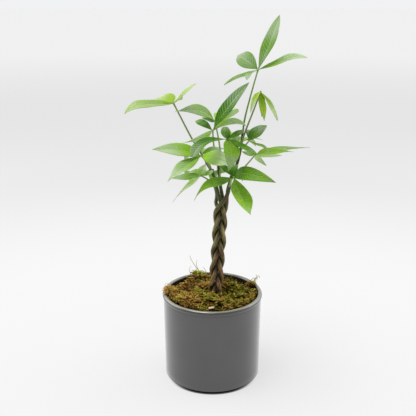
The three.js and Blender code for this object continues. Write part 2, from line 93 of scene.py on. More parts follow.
# How the pot is turned. The foot ring is given by distances inside the edge of the base, with heights.
POT_STEPS = 160
WALL_STEPS = 12
LIP_STEPS = 16
LIP_FROM = math.radians(-45)
NECK_DROP = 1
NECK_BEND = 0.6
FOOT_RING = ((8, 0.8), (7, 0.5), (6.5, 0))

# The finished moss. It has deeper humps and gaps than the solid, climbs the wall at the front left, sinks at
# the wall behind but for one tuft, and lies low in a hollow before the trunk. Both have a place and a reach.
MOSS_LOW = 100.3
MOSS_REACH = 55.5
MOSS_CLIMB = 4
CLIMB_WAY = (-0.8, -0.6)
MOSS_HUMP = 5.5
MOSS_HUMP_SIZE = 12
MOSS_GAP = -0.55
MOSS_SINK = 5.5
TRUNK_CLEAR = 10.5
HOLLOW = (5, -9, 13)
HOLLOW_DEPTH = 3
TUFT = (-20, 46, 13)

# The litter under the sprigs: how far it lies below the top of the moss, and how finely it is turned.
LITTER_UNDER = 3.2
LITTER_RINGS = 44
LITTER_STEPS = 150

SEED = 41

# The clumps and their sprigs. A sprig's lengths are shares of the middling one. Clumps end a little past the
# reach of the moss, and those that spill over the lip end further out.
EDGE_PAST = 2
SPILL_PAST = 8
CLUMP_SPREAD = (1.4, 3.2)
CLUMP_DOME = 1.8
SPRIG_LEAN = (-0.5, 0.75)
SPRIG_CURLS = (0.9, -1.5, 2.3, 3.1, -0.5, 1.7)
SPRIG_PARTS = 4
SPRIG_LEAVES = 6
BRIGHT_SHARE = 0.22
BRIGHT_LENGTH = (0.85, 1.35)
DULL_LENGTH = (0.5, 1.1)

# The bright tips of the moss, as they show on a screen: partly the moss's own colour and partly painted
# highlight.
DRY_TIP = (234, 190, 98)
OLIVE_TIP = (222, 196, 86)
GREEN_TIP = (208, 208, 72)
SHOOT_TIP = (222, 214, 160)

# The chip of bark on the moss at the front.
CHIP_PLACE = (-1.5, -52, 114.6)
CHIP_SIZE = (7, 3.2, 1)
CHIP_CLEAR = 8.5
CHIP_BEVEL = 0.35

# Clumps that spill over the lip, with the height of their roots.
MOSS_SPILLS = (
    (-56, -4, 112.2), (-57, 1, 112.4), (-55, -10, 111.6), (-51, -18, 110.6), (-52, -1, 112), (53, 21, 109.5),
    (55, 24, 110.5),
)

# Where each colour of moss grows thickest: place and reach.
GREEN_MOSS = (
    (-22, 45, 14), (-50, 10, 8), (38, 12, 15), (36, -3, 9), (-13, -37, 9), (20, -26, 10), (-6, -44, 9),
)
GOLD_MOSS = (
    (-42, -12, 18), (-34, 10, 13), (-18, 14, 13), (46, 38, 8), (49, 4, 8), (-22, -34, 14), (-8, 30, 9),
    (26, 32, 13),
)

# Where the moss is lighter or darker than elsewhere, partly by its own colour and partly as painted light and
# shade: place, reach and how much.
MOSS_LIGHT = (
    (34, 12, 10, 0.3), (-47, 8, 8, 0.28), (-12, -5, 7, 0.2), (-21, 46, 11, 0.5), (22, -24, 10, 0.12),
    (49, -2, 6, 0.34), (6, -14, 12, -0.3), (24, 24, 14, -0.65), (45, 20, 9, -0.5), (-43, 27, 9, -0.9),
    (30, -8, 5, -0.34), (-20, 12, 13, -0.8), (-2, -14, 8, -0.2),
)

# Long shoots that stand or lie clear of the cushions: the radius of each and its route.
SHOOT_STEPS = 24
SHOOTS = (
    (0.42, ((-14, 49, 111), (-17.9, 51.1, 120), (-23, 51.3, 127), (-27.5, 51.1, 135), (-30.5, 51.1, 142.3))),
    (0.3, ((-17.9, 51.1, 120), (-21.5, 51, 129), (-20.5, 51, 136.5))),
    (0.36, ((-24, 46, 110), (-29.5, 48, 117), (-31, 49, 124), (-28.5, 49, 128))),
    (0.34, ((-9, 48, 112), (-8.5, 50, 120), (-12.5, 51, 126))),
    (0.5, ((50.5, 19, 108), (54.2, 20.9, 114), (56.7, 21.5, 121.2), (59.4, 22, 123.4), (57.9, 22, 126.9))),
    (0.45, ((55.2, 21, 118), (59, 23, 121.6), (61.9, 23.6, 125), (63.2, 23.8, 121.8))),
    (0.45, ((47, 26, 110), (52.4, 28, 117), (57, 29, 119.4), (61.2, 29, 117.4))),
    (0.4, ((-50, 4, 110), (-55.6, 5.6, 115), (-60.2, 6.6, 117.4), (-63.4, 7, 114.6))),
    (0.36, ((-52, 12, 111), (-57.4, 13.2, 117), (-61, 13.6, 118.2), (-62.4, 13.8, 116))),
    (0.34, ((-49, -8, 109), (-55, -9.6, 114.8), (-59.6, -10.2, 116.4))),
    (0.34, ((-34, -22, 110), (-27, -25, 114), (-20, -24, 113), (-15, -27, 110))),
    (0.34, ((14, -34, 109), (21, -31, 113.4), (28, -33, 113.6), (33, -30, 110.6))),
    (0.32, ((30, 14, 110), (34, 9, 114.6), (40, 8, 114.2), (43, 3, 111))),
    (0.34, ((-30, 26, 110), (-24, 30, 115), (-17, 29, 116), (-12, 33, 112))),
)

# The plaited trunk, as in the part's source.
STRANDS = 5
PLAIT_PITCH = 122.5
PLAIT_LEFT_AT = 217.5
PLAIT_SIDE = 5.9
PLAIT_POINT = 0.1
PLAIT_DEPTH = 5.5
PLAIT_FOOT_X = 3.4
PLAIT_LEAN = 0.056
PLAIT_LOW = 98
PLAIT_HIGH = 224
PLAIT_STEP = 6
ROOT_DEPTH = 58
ROOT_SPREAD = 1.75

# How finely routes are followed: between two of their places, to measure one, and to find what lies nearest.
FINE_STEPS = 24
LENGTH_STEPS = 240
NEAREST_STEPS = 900

# The bark. Shade is painted dark in a crease where two strands meet, and a highlight is painted pale on a
# crown where a strand stands clear.
STRAND_SIDES = 26
STRAND_ROW = 1.1
CREASE_WIDTH = 2.8
CROWN_FROM = 3
CROWN_FULL = 5
SCAR_PLACE = (16.5, -5.8, 241)

# The leaves, the first five values as in the part's source. A stalk's colours are its own and its foot's.
BLADE_FOLD = 0.22
WAVE = 0.035
ROOT_SHARE = 0.02
HOOK_FROM = 0.55
LEAST_HALF_WIDTH = 0.7
HUB_RADIUS = 1.4
BLADE_ACROSS = 12
BLADE_ALONG = 32
STALK_SIDES = 12
STALK_STEPS = 30
VEINS = 15
STALK_COLOURS = ((134, 160, 92), (106, 106, 66))
YOUNG_STALK_COLOURS = ((130, 152, 82), (108, 104, 72))

# The upper face of a leaflet looks up where the table doesn't say otherwise.
UP = (0, 0, 1)

Stem = namedtuple("Stem", "name tip route")
Leaf = namedtuple("Leaf", "name stalk leaflets young", defaults=(False,))
Leaflet = namedtuple(
    "Leaflet", "tip width arch tone glow face bend widest full hook",
    defaults=(0.15, 0.5, 0.2, UP, 0.45, 0.52, 1.15, 0.03),
)

# Each stem above the plait, from the plait's top to the growing tip, with its radius at the tip.
STEMS = (
    Stem("stem_tall", 1.5, (
        (8.2, -6.6, 231), (15.2, -5.8, 239), (19.3, -4.4, 249), (20.8, -3, 258),
        (24, -0.5, 269), (29.5, 2, 281), (33.5, 4, 296), (35.6, 5, 310), (36.3, 5, 319),
    )),
    Stem("stem_centre", 1.7, (
        (12.8, 6, 231), (12.2, 7, 240), (10.4, 7, 250), (8.8, 6.4, 262), (7, 5.4, 279),
    )),
    Stem("stem_right", 1.6, (
        (17.4, 1.6, 231), (18.2, 4.4, 240), (19.4, 7.5, 250), (22.5, 10, 260), (27, 14, 273),
    )),
    Stem("stem_left", 1.4, (
        (11.4, -1.6, 231), (8.6, 0.2, 238), (6.8, 0, 246), (4.3, -0.6, 257),
        (1.2, -1.2, 268), (-3.6, -2.6, 278), (-8, -4, 285.5),
    )),
    Stem("stem_back", 1.4, (
        (4.6, 5.9, 231), (5.4, 7.4, 240), (4.8, 9.4, 249), (2.4, 12, 259), (0, 17, 272),
    )),
)

# Each leaf: its stalk's route from the stem to the hub, and its leaflets, each row a Leaflet. Tone runs from
# 0, dark shaded green, to 1, light green. Glow runs from 0, grey green, to 1, yellow green lit from behind.
LEAVES = (
    Leaf("leaf_top", ((35.8, 5, 312), (38.5, 7, 335), (46, 10, 366), (54, 12, 395)), (
        ((80, 36, 457), 22, -0.05, 0.3, 0.12, (-0.7, -0.5, 0.5), 0.6, 0.5, 1, 0),
        ((114.5, 27, 407.5), 14, -0.05, 0.65, 0.3, (-0.1, -0.4, 0.9), 0.45, 0.63, 1, 0.17),
        ((31.5, 78, 405), 20.5, 0.3, 0.35, 0.01, (-0.7, -0.3, 0.7), 0.45, 0.33, 1.25, 0),
        ((13.5, 18, 376), 9, -0.05, 1, 0, (-0.3, 0.6, 0.8), 0.35, 0.6, 1.1, 0.12),
        ((37.5, -43, 388.5), 11, 0.05, 0.32, 0.05, (-0.4, 0, 0.9), 0.6, 0.57, 1.3, 0.04),
    )),
    Leaf("leaf_drooping", ((35, 4.6, 306), (39, -1, 322), (47, -5, 345), (56, -8, 371)), (
        ((42.5, -37, 351), 6, 0.32, 1, 0.41, (-0.1, -0.5, 0.9), 0.47, 0.52, 1.05, 0.05),
        ((59.5, -29.5, 340.5), 9, -0.03, 0.5, 1, (0.3, -0.8, 0.6), 0.45, 0.5, 1.15, 0.05),
        ((76, -16.5, 338.5), 10.5, 0.08, 0.45, 0.21, (0.7, -0.4, 0.6), 0.35, 0.6, 0.9, 0.04),
        ((60, 14, 338), 8, 0.3, 0.3, 0.6),
    ), True),
    Leaf("leaf_far_left", ((-5, -3.2, 281), (-13, -5, 295), (-24, -8, 314), (-46, -15, 359)), (
        ((-101.5, -32, 349), 17.5, 0, 0.52, 0.01, (0, -0.4, 0.9), 0.65, 0.48, 0.75, 0.16),
        ((-71.5, 13.5, 359.5), 22.5, 0.15, 0.65, 0.17, (-0.2, -0.2, 0.9), 0.37, 0.35, 0.9, 0.04),
        ((-19.5, -18, 382), 9, -0.05, 0.75, 0, (-0.6, -0.3, 0.7), 0.4, 0.57, 1.2, 0.08),
        ((-38, 38, 356), 10, -0.05, 0.7, 0.3, (-0.7, 0.1, 0.7), 0.4, 0.65, 1.4, 0.12),
    ), True),
    Leaf("leaf_high_front", ((7, 5.4, 276), (4.5, 3, 290), (1.2, -3, 308), (0, -8, 325.5)), (
        ((43, 2, 381), 22, 0.07, 0.05, 0.26, (-0.6, -0.5, 0.6), 0.4, 0.54, 1.15, 0),
        ((39, -19, 333), 12.5, 0.4, 1, 0, (0, 0.7, 0.7), 0.6, 0.67, 1.2, 0),
        ((-35, -45, 317.5), 8, 0.25, 0.95, 0.01, (0.7, -0.7, 0), 0.45, 0.4, 1.1, 0),
        ((-22, 36, 329), 10.5, 0.13, 0.05, 0.7, (-0.4, -0.3, 0.9), 0.58, 0.47, 1.25, 0.02),
        ((33, 41, 341), 14, 0, 0.8, 0.5, (-0.8, 0.4, 0.5), 0.6, 0.68, 1.3, 0.05),
    )),
    Leaf("leaf_high_back", ((7.8, 6, 270), (10, 11, 286), (8, 15, 307), (2.7, 18, 333)), (
        ((-44, -19, 349.5), 20, 0.28, 0.45, 0.17, (0.6, -0.4, 0.7), 0.44, 0.43, 1.3, 0.03),
        ((-14, 66, 329.5), 9, -0.1, 0.05, 0.9, (0.6, 0.3, 0.7), 0.6, 0.31, 0.8, 0.02),
        ((20, 78, 320), 17, 0.25, 0.6, 0.3),
    )),
    Leaf("leaf_front", ((8.4, 6.2, 265), (10.5, -4, 281), (14, -22, 304), (16, -42, 322)), (
        ((17.5, -70, 338.5), 7, -0.03, 0, 0.99, (0.6, 0.4, 0.7), 0.4, 0.56, 1, 0.05),
        ((13.5, -9.5, 330), 10.5, 0.2, 0.15, 0.22, (-0.2, -0.2, 0.9), 0.5, 0.33, 0.8, 0.04),
        ((36, -26.5, 329), 6.5, -0.06, 0, 0.8, (0.3, -0.7, 0.6), 0.47, 0.6, 1.2, 0.03),
        ((48.5, -68.5, 309.5), 8, 0.06, 0.05, 1, (0, -0.5, 0.9), 0.35, 0.65, 1.05, 0),
        ((17.5, -68, 290), 20.5, 0.43, 0.4, 0.7, (0.4, -0.7, 0.6), 0.47, 0.48, 1.2, 0.04),
        ((-23, -61, 304.5), 21, 0.39, 0.05, 0.55, (-0.3, -0.3, 0.9), 0.65, 0.65, 1.15, 0),
    )),
    Leaf("leaf_left_front", ((-3, -2.4, 277), (-6, -10, 286), (-10, -19, 293), (-14, -28, 299)), (
        ((-71, -29, 307), 18, 0.23, 0.65, 0.4, (0.1, -0.7, 0.7), 0.32, 0.47, 0.95, 0),
        ((-51.5, -63.5, 277), 17.5, 0.03, 0.6, 0.17, (-0.1, -0.5, 0.9), 0.54, 0.44, 1.15, 0.06),
        ((18, -58.5, 297), 18.5, 0.14, 0.85, 0.41, (-0.5, -0.6, 0.6), 0.54, 0.6, 1.2, 0.05),
        ((10, -19, 303), 9.5, 0.45, 0.3, 0.12, (0, -0.4, 0.9), 0.45, 0.67, 1.2, 0),
        ((-50, -2, 305), 12, 0.12, 0.5, 0.3),
    )),
    Leaf("leaf_left_low", ((3, 9.8, 252), (-3, 10.5, 258), (-9, 11.5, 262), (-15, 12, 265)), (
        ((-8.5, 18, 278), 11.5, 0.26, 0.85, 0.12, (-0.3, -0.8, 0.5), 0.31, 0.43, 0.8, 0.02),
        ((-52, 30.5, 257), 12, -0.03, 0.35, 0.31, (-0.4, -0.4, 0.8), 0.4, 0.48, 0.85, 0.01),
        ((-50, 3.5, 232.5), 7, 0.04, 0.94, 0, (-0.4, -0.7, 0.6), 0.48, 0.32, 1.2, 0.09),
        ((0.5, -26, 279.5), 6, -0.09, 0.3, 0.5, (-0.8, -0.2, 0.5), 0.5, 0.67, 1.25, 0.04),
        ((-36, 52, 256), 14, 0.2, 0.5, 0.2),
    )),
    Leaf("leaf_right_front", ((20.2, -3.6, 254), (21.5, -12, 262), (23, -22, 269), (25, -32, 274)), (
        ((69.5, -80, 280.5), 17, 0.46, 0.2, 1, (-0.6, -0.5, 0.6), 0.43, 0.51, 1.05, 0),
        ((42, -82, 244), 24, -0.09, 0.4, 1, (0.3, -0.4, 0.9), 0.45, 0.5, 1.2, 0.02),
        ((-21, -80.5, 260), 13, 0.02, 0.3, 1, (0.3, -0.5, 0.8), 0.65, 0.4, 1.3, 0.2),
        ((7.5, -20.5, 286), 9, 0.16, 0, 0.99, (0.2, -0.6, 0.8), 0.5, 0.56, 1.3, 0.03),
        ((30.5, -16, 286), 13, 0.27, 0.15, 1, (-0.6, -0.3, 0.7), 0.43, 0.42, 0.85, 0.07),
    )),
    Leaf("leaf_right_high", ((34.2, 4.3, 299), (38, 1, 304), (41, -2, 308), (44, -5, 312.5)), (
        ((65.5, 3.5, 329.5), 19, 0.14, 0.25, 0.21, (-0.4, -0.5, 0.8), 0.38, 0.52, 1.05, 0),
        ((68.5, 2, 297), 8, -0.04, 0.6, 0.5, (0.2, 0.5, 0.9), 0.6, 0.6, 1.25, 0.16),
        ((36, -18, 317), 7, 0.1, 0.1, 0.2),
        ((48, 34, 318), 10, 0.2, 0.1, 0.2),
    )),
    Leaf("leaf_far_right", ((23.6, 10.8, 263), (31, 11, 266), (42, 16, 277), (55, 30, 288.5)), (
        ((97.5, -5.5, 299), 13.5, 0.07, 0.8, 1, (0.4, 0.6, 0.7), 0.4, 0.4, 1.15, 0.02),
        ((121.5, 24, 298.5), 12, 0.06, 1, 0, (0, 0.7, 0.7), 0.35, 0.38, 0.95, 0),
        ((94.5, 85.5, 274.5), 15, -0.1, 1, 0, (-0.3, 0.4, 0.9), 0.48, 0.46, 1.1, 0.02),
        ((71.5, 61.5, 265.5), 7.5, 0.3, 1, 0, (-0.8, 0.6, 0.2), 0.55, 0.53, 1.05, 0.07),
        ((38.5, 46.5, 288), 6, -0.33, 1, 0, (0.7, 0.7, 0.3), 0.3, 0.52, 0.8, 0.04),
    )),
    Leaf("leaf_back_left", ((0.6, 14.4, 266), (-3, 27, 274), (-6, 40, 280), (-8, 52, 283)), (
        ((-50, 66, 283), 17, 0.2, 0.6, 0.2),
        ((-38, 98, 264), 18, 0.25, 0.6, 0.3),
        ((-2, 112, 262), 19, 0.3, 0.55, 0.1),
        ((30, 88, 276), 16, 0.25, 0.5, 0.3),
        ((-30, 30, 290), 13, 0.15, 0.5, 0.2),
    )),
    Leaf("leaf_back_right", ((25.6, 12.6, 269), (27, 24, 280), (27, 38, 289), (26, 50, 294)), (
        ((66, 62, 300), 15, 0.25, 0.6, 0.2),
        ((60, 100, 284), 18, 0.25, 0.6, 0.4),
        ((30, 114, 300), 18, 0.2, 0.5, 0.2),
        ((34, 24, 312), 12, 0.1, 0.4, 0.1),
    )),
    Leaf("leaf_back_low", ((4.4, 8, 244), (2, 20, 250), (4, 34, 256), (6, 46, 258)), (
        ((-32, 74, 240), 16, 0.25, 0.6, 0.3),
        ((0, 102, 232), 18, 0.3, 0.3, 1),
        ((42, 80, 240), 16, 0.25, 0.5, 0.4),
        ((38, 46, 262), 13, 0.25, 0.4, 0.2),
        ((-24, 38, 252), 12, 0.2, 0.4, 0.2),
    )),
)


def display(red, green, blue):
    """A colour given as it shows on a screen, 0 to 255, in the linear values that shaders use."""
    shares = [channel / 255 for channel in (red, green, blue)]
    return tuple(s / 12.92 if s <= 0.04045 else ((s + 0.055) / 1.055) ** 2.4 for s in shares)


def colour_setting(name, description, shown):
    """A colour that the user can change."""
    return FloatVectorProperty(
        name=name, description=description, default=display(*shown), size=3, min=0, max=1, subtype="COLOR"
    )


def length_setting(name, description, millimetres):
    """A length that the user can change."""
    return FloatProperty(
        name=name, description=description, default=millimetres * MM, min=0, precision=5, unit="LENGTH",
        subtype="DISTANCE",
    )


class StageSettings(bpy.types.PropertyGroup):
    """Camera, floor and light."""

    camera_place: FloatVectorProperty(
        name="Camera place", description="Where the camera stands", default=(-0.0056, -0.775, 0.466),
        size=3, precision=4, unit="LENGTH", subtype="XYZ",
    )
    camera_pitch: FloatProperty(
        name="Camera pitch", description="How far the camera looks down", default=0.300, unit="ROTATION",
        subtype="ANGLE",
    )
    camera_lens: FloatProperty(
        name="Lens", description="Focal length of the camera", default=56.25, unit="CAMERA",
        subtype="DISTANCE_CAMERA",
    )
    floor_size: length_setting("Floor size", "Length of the floor's sides", 400000)
    floor_colour: colour_setting("Floor", "Colour of the floor", (135, 135, 135))
    floor_light: colour_setting("Floor light", "Light that the floor itself gives", (201, 201, 201))
    sky_colour: colour_setting("Sky", "Colour of the light all round", (250, 251, 252))


class PotSettings(bpy.types.PropertyGroup):
    """Sizes and glaze of the pot."""

    diameter: length_setting("Rim diameter", "Outer diameter of the lip", 129)
    neck_diameter: length_setting("Neck diameter", "Outer diameter just under the lip", 126.3)
    base_diameter: length_setting("Base diameter", "Outer diameter at the base", 124)
    height: length_setting("Height", "Height of the pot", 114)
    glaze: colour_setting("Glaze", "Matt grey glaze of the wall", (31, 31, 31))
    lip: colour_setting("Lip", "Paler glaze on top of the lip", (134, 131, 111))
    rim_line: colour_setting("Rim line", "Brown line where the glaze breaks at the rim", (70, 64, 50))
    inside: colour_setting("Inside", "Dark glaze inside the rim", (36, 36, 34))


class MossSettings(bpy.types.PropertyGroup):
    """Amount, size and colours of the moss."""

    clumps: IntProperty(name="Clumps", description="Number of small clumps of moss", default=190, min=1)
    sprigs: IntProperty(name="Sprigs", description="Number of sprigs in a clump", default=27, min=1)
    sprig_length: length_setting("Sprig length", "Length of a middling sprig", 7.8)
    gold: colour_setting("Dry moss", "Golden brown of the dried moss", (197, 143, 57))
    olive: colour_setting("Olive moss", "Yellow olive of the half dry moss", (172, 142, 44))
    green: colour_setting("Green moss", "Green of the living moss", (150, 138, 28))
    shoot: colour_setting("Shoots", "Pale olive of the long shoots", (186, 180, 104))
    chip: colour_setting("Bark chip", "Beige of the bark chip on the moss", (222, 190, 158))
    # The litter's colour, and also the painted shade at the roots of the sprigs and the shoots.
    shade: colour_setting("Under the moss", "Dark litter between the sprigs", (44, 32, 16))
    soil: colour_setting("Soil", "Dark potting soil", (48, 36, 26))


class TrunkSettings(bpy.types.PropertyGroup):
    """Thickness and colours of the plaited stems."""

    strand_radius: length_setting("Strand radius", "Radius of one strand of the plait", 2.65)
    bark: colour_setting("Bark", "Grey brown of the lower bark", (96, 77, 50))
    olive_bark: colour_setting("Olive bark", "Olive of the younger bark", (92, 90, 50))
    # The painted shade in the creases between the strands.
    groove_shade: colour_setting("Groove", "Dark grooves of the bark", (31, 23, 13))
    scar: colour_setting("Scar", "Reddish brown scar near the top of the plait", (92, 58, 44))
    green_stem: colour_setting("Green stem", "Green of the stems near their tips", (58, 76, 24))


class LeafSettings(bpy.types.PropertyGroup):
    """Thickness and colours of the leaves."""

    thickness: length_setting("Blade thickness", "Thickness of a leaflet", 0.45)
    stalk_radius: length_setting("Stalk radius", "Middling radius of a leaf stalk", 1.05)
    deep: colour_setting("Deep green", "Leaflets of tone 0", (44, 94, 26))
    light: colour_setting("Light green", "Leaflets of tone 1", (206, 230, 170))
    lit_deep: colour_setting("Lit deep green", "Glowing leaflets of tone 0", (22, 100, 0))
    lit_light: colour_setting("Lit light green", "Glowing leaflets of tone 1", (180, 232, 62))
    vein: colour_setting("Veins", "Ribs and veins of the green leaves", (184, 208, 150))
    lit_vein: colour_setting("Lit veins", "Ribs and veins of the glowing leaves", (186, 216, 84))
    under: colour_setting("Underside", "Underside of the green leaves", (160, 190, 124))
    young_deep: colour_setting("Young deep green", "Young leaflets of tone 0", (78, 118, 34))
    young_light: colour_setting("Young light green", "Young leaflets of tone 1", (196, 222, 140))
    young_vein: colour_setting("Young veins", "Ribs and veins of the young leaves", (200, 222, 140))
    young_lit_deep: colour_setting("Young lit deep", "Glowing young leaflets of tone 0", (48, 106, 0))
    young_lit_light: colour_setting("Young lit light", "Glowing young leaflets of tone 1", (198, 232, 62))
    young_under: colour_setting("Young underside", "Underside of the young leaves", (174, 204, 108))


def math_operator(operation, reflected=False):
    """A Signal's operator, which adds a Math node."""

    def add_node(signal, other=0):
        pair = (other, signal) if reflected else (signal, other)
        return signal.paint.math(operation, *pair)

    return add_node


class Signal:
    """A value that runs through a material, so that shader maths reads as an ordinary expression."""

    def __init__(self, paint, socket):
        self.paint = paint
        self.socket = socket

    __add__ = __radd__ = math_operator("ADD")
    __sub__ = math_operator("SUBTRACT")
    __rsub__ = math_operator("SUBTRACT", reflected=True)
    __mul__ = __rmul__ = math_operator("MULTIPLY")
    __pow__ = math_operator("POWER")
    __rpow__ = math_operator("POWER", reflected=True)
    __abs__ = math_operator("ABSOLUTE")


class Paint:
    """One material and the nodes that make it."""

    def __init__(self, name, **fixed):
        self.material = bpy.data.materials.new(name)
        self.material.use_nodes = True
        self.tree = self.material.node_tree
        self.surface = self.tree.nodes["Principled BSDF"].inputs
        for name, value in fixed.items():
            self.set(name.replace("_", " ").title().replace("Ior", "IOR"), value)

    def feed(self, socket, value):
        """Sets a socket to a number, colour or vector, or links a signal to it."""
        if isinstance(value, Signal):
            self.tree.links.new(value.socket, socket)
        elif socket.type == "RGBA" and len(value) == 3:
            socket.default_value = (*value, 1)
        else:
            socket.default_value = value

    def add(self, kind, settings, inputs, output=0):
        """Adds a node: first its settings, then the values or signals of its sockets."""
        node = self.tree.nodes.new(kind)
        for name, value in settings.items():
            setattr(node, name, value)
        for name, value in inputs.items():
            self.feed(node.inputs[name], value)
        return Signal(self, node.outputs[output])

    def math(self, operation, first, second):
        return self.add("ShaderNodeMath", {"operation": operation}, {0: first, 1: second})

    def mix(self, share, first, second):
        """Runs from the first colour to the second as the share runs from 0 to 1."""
        return self.add("ShaderNodeMix", {"data_type": "RGBA"}, {0: share, 6: first, 7: second}, 2)

    def over(self, base, colour, value, low, high, start=0.0, end=1.0):
        """Lays a colour over a base. How much of it shows runs from start to end as the value runs."""
        return self.mix(self.smooth(value, low, high, start, end), base, colour)

    def smooth(self, value, low, high, start=0.0, end=1.0):
        """Runs from start to end as the value runs from low to high, without a corner."""
        inputs = {"Value": value, "From Min": low, "From Max": high, "To Min": start, "To Max": end}
        return self.add("ShaderNodeMapRange", {"interpolation_type": "SMOOTHSTEP"}, inputs)

    def place(self):
        """Object coordinates, in metres."""
        return self.add("ShaderNodeTexCoord", {}, {}, "Object")

    def uv(self):
        """How far across and how far along the piece, from 0 to 1."""
        return self.parts(self.add("ShaderNodeUVMap", {"uv_map": "UVMap"}, {}))[:2]

    def parts(self, vector):
        """The three numbers of a vector."""
        return [self.add("ShaderNodeSeparateXYZ", {}, {0: vector}, i) for i in range(3)]

    def value(self, attribute):
        """A number that the mesh holds at each point."""
        return self.add("ShaderNodeAttribute", {"attribute_name": attribute}, {}, "Fac")

    def noise(self, scale, detail=3.0, rough=0.55, where=None):
        inputs = {"Vector": where or self.place(), "Scale": scale, "Detail": detail, "Roughness": rough}
        return self.add("ShaderNodeTexNoise", {}, inputs, "Fac")

    def cells(self, scale, where=None):
        inputs = {"Vector": where or self.place(), "Scale": scale}
        return self.add("ShaderNodeTexVoronoi", {}, inputs, "Distance")

    def scaled(self, vector, x, y, z):
        """A vector or a colour with each of its three numbers scaled."""
        return self.add("ShaderNodeVectorMath", {"operation": "MULTIPLY"}, {0: vector, 1: (x, y, z)})

    def stretched(self, x, y, z):
        """Object coordinates stretched by a factor along each axis."""
        return self.scaled(self.place(), x, y, z)

    def bump(self, height, millimetres):
        inputs = {"Height": height, "Distance": millimetres * MM, "Strength": 1}
        self.set("Normal", self.add("ShaderNodeBump", {}, inputs))

    def set(self, socket, value):
        """Feeds one of the shader's own sockets."""
        self.feed(self.surface[socket], value)


class Sky(Paint):
    """The light all round, painted on the world in the same way."""

    def __init__(self, name):
        self.world = bpy.data.worlds.new(name)
        self.world.use_nodes = True
        self.tree = self.world.node_tree
        self.surface = self.tree.nodes["Background"].inputs

    def direction(self):
        """The direction in which the sky is seen."""
        return self.add("ShaderNodeTexCoord", {}, {}, "Generated")


def mesh_from(name, bm):
    """A mesh that takes over all that was made in bm."""
    mesh = bpy.data.meshes.new(name)
    bm.to_mesh(mesh)
    bm.free()
    return mesh


def placed(name, data):
    """A new object in the scene."""
    thing = bpy.data.objects.new(name, data)
    bpy.context.scene.collection.objects.link(thing)
    return thing


def finished(name, bm, paints, slot, *nodes):
    """Makes a piece from a mesh in metres: smooth, painted, riding on the part and standing for its nodes."""
    for face in bm.faces:
        face.smooth = True
    piece = placed(name, mesh_from(name, bm))
    for paint in paints:
        piece.data.materials.append(paint.material)
    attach(piece, BODY)
    if nodes:
        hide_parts(*nodes)
    return piece


def new_bmesh():
    """A new mesh in the making, with a UV map."""
    bm = bmesh.new()
    bm.loops.layers.uv.new("UVMap")
    return bm


def float_layers(bm, *names):
    """Layers of numbers that the mesh holds at its points."""
    return [bm.verts.layers.float.new(name) for name in names]


def spun(profile, steps):
    """A shape turned round the upright axis from a profile of radii and heights in millimetres."""
    bm = bmesh.new()
    verts = [bm.verts.new((radius * MM, 0, z * MM)) for radius, z in profile]
    edges = [bm.edges.new(pair) for pair in zip(verts, verts[1:])]
    bmesh.ops.spin(
        bm, geom=verts + edges, cent=(0, 0, 0), axis=(0, 0, 1), dvec=(0, 0, 0), angle=TURN, steps=steps,
        use_merge=True,
    )
    bmesh.ops.remove_doubles(bm, verts=bm.verts, dist=1e-6)
    bmesh.ops.recalc_face_normals(bm, faces=bm.faces)
    return bm


def centripetal(before, start, end, after, share):
    """A point between start and end on a centripetal Catmull-Rom curve."""
    pairs = ((before, start), (start, end), (end, after))
    first, middle, last = (max((b - a).length, 1e-6) ** 0.5 for a, b in pairs)
    leave = ((start - before) / first - (end - before) / (first + middle) + (end - start) / middle) * middle
    arrive = ((end - start) / middle - (after - start) / (middle + last) + (after - end) / last) * middle
    square, cube = share * share, share**3
    return (
        start
        + leave * share
        + (3 * (end - start) - 2 * leave - arrive) * square
        + (2 * (start - end) + leave + arrive) * cube
    )


def smooth_route(places, steps):
    """Points at even distances along a smooth curve through the places."""
    points = [Vector(place) for place in places]
    points = [2 * points[0] - points[1], *points, 2 * points[-1] - points[-2]]
    fine = [points[1]]
    for i in range(1, len(points) - 2):
        fine += [centripetal(*points[i - 1 : i + 3], j / FINE_STEPS) for j in range(1, FINE_STEPS + 1)]
    reached = [0.0]
    for a, b in zip(fine, fine[1:]):
        reached.append(reached[-1] + (b - a).length)
    route = []
    span = 0
    for i in range(steps + 1):
        target = reached[-1] * i / steps
        while span < len(fine) - 2 and reached[span + 1] < target:
            span += 1
        share = (target - reached[span]) / max(reached[span + 1] - reached[span], 1e-9)
        route.append(fine[span].lerp(fine[span + 1], min(share, 1)))
    return route


def add_tube(bm, route, sides, radius_at):
    """Adds a closed tube along a route in millimetres.

    radius_at gives its radius for a share of the length and an angle.
    """
    rows = len(route) + 1
    made = bmesh.ops.create_grid(bm, x_segments=sides, y_segments=rows, size=0.5, calc_uvs=True)["verts"]
    frames = []
    side = None
    for i, centre in enumerate(route):
        tangent = (route[min(i + 1, len(route) - 1)] - route[max(i - 1, 0)]).normalized()
        side = side or tangent.cross(Vector((0, 1, 0.01))).normalized()
        side = (side - tangent * side.dot(tangent)).normalized()
        frames.append((centre, side, tangent.cross(side)))
    for vert in made:
        row = round((vert.co.y + 0.5) * rows)
        angle = (vert.co.x + 0.5) * TURN
        step = min(max(row - 1, 0), len(route) - 1)
        centre, across, up = frames[step]
        reach = 0 if row in (0, rows) else radius_at(step / (len(route) - 1), angle)
        vert.co = (centre + (across * math.cos(angle) + up * math.sin(angle)) * reach) * MM
    bmesh.ops.remove_doubles(bm, verts=made, dist=1e-7)


def smoothstep(value, low, high):
    """Runs from 0 to 1 as the value runs from low to high, without a corner."""
    share = min(max((value - low) / (high - low), 0), 1)
    return share * share * (3 - 2 * share)


def nearness(x, y, place_x, place_y, reach):
    """1 at a place on the moss, falling to 0 beyond its reach."""
    return math.exp(-((x - place_x) ** 2 + (y - place_y) ** 2) / reach**2)


def potting_room(height):
    """The radius of the room inside the pot at a height."""
    pot = bpy.context.scene.money_tree_pot
    share = (height - POT_FLOOR) / (pot.height / MM - POT_FLOOR)
    return (pot.base_diameter * (1 - share) + pot.diameter * share) / 2 / MM - POT_WALL


def trunk_x(height):
    """The middle line of the trunk leans a little to the right as it rises."""
    return PLAIT_FOOT_X + (height - PLAIT_LOW) * PLAIT_LEAN


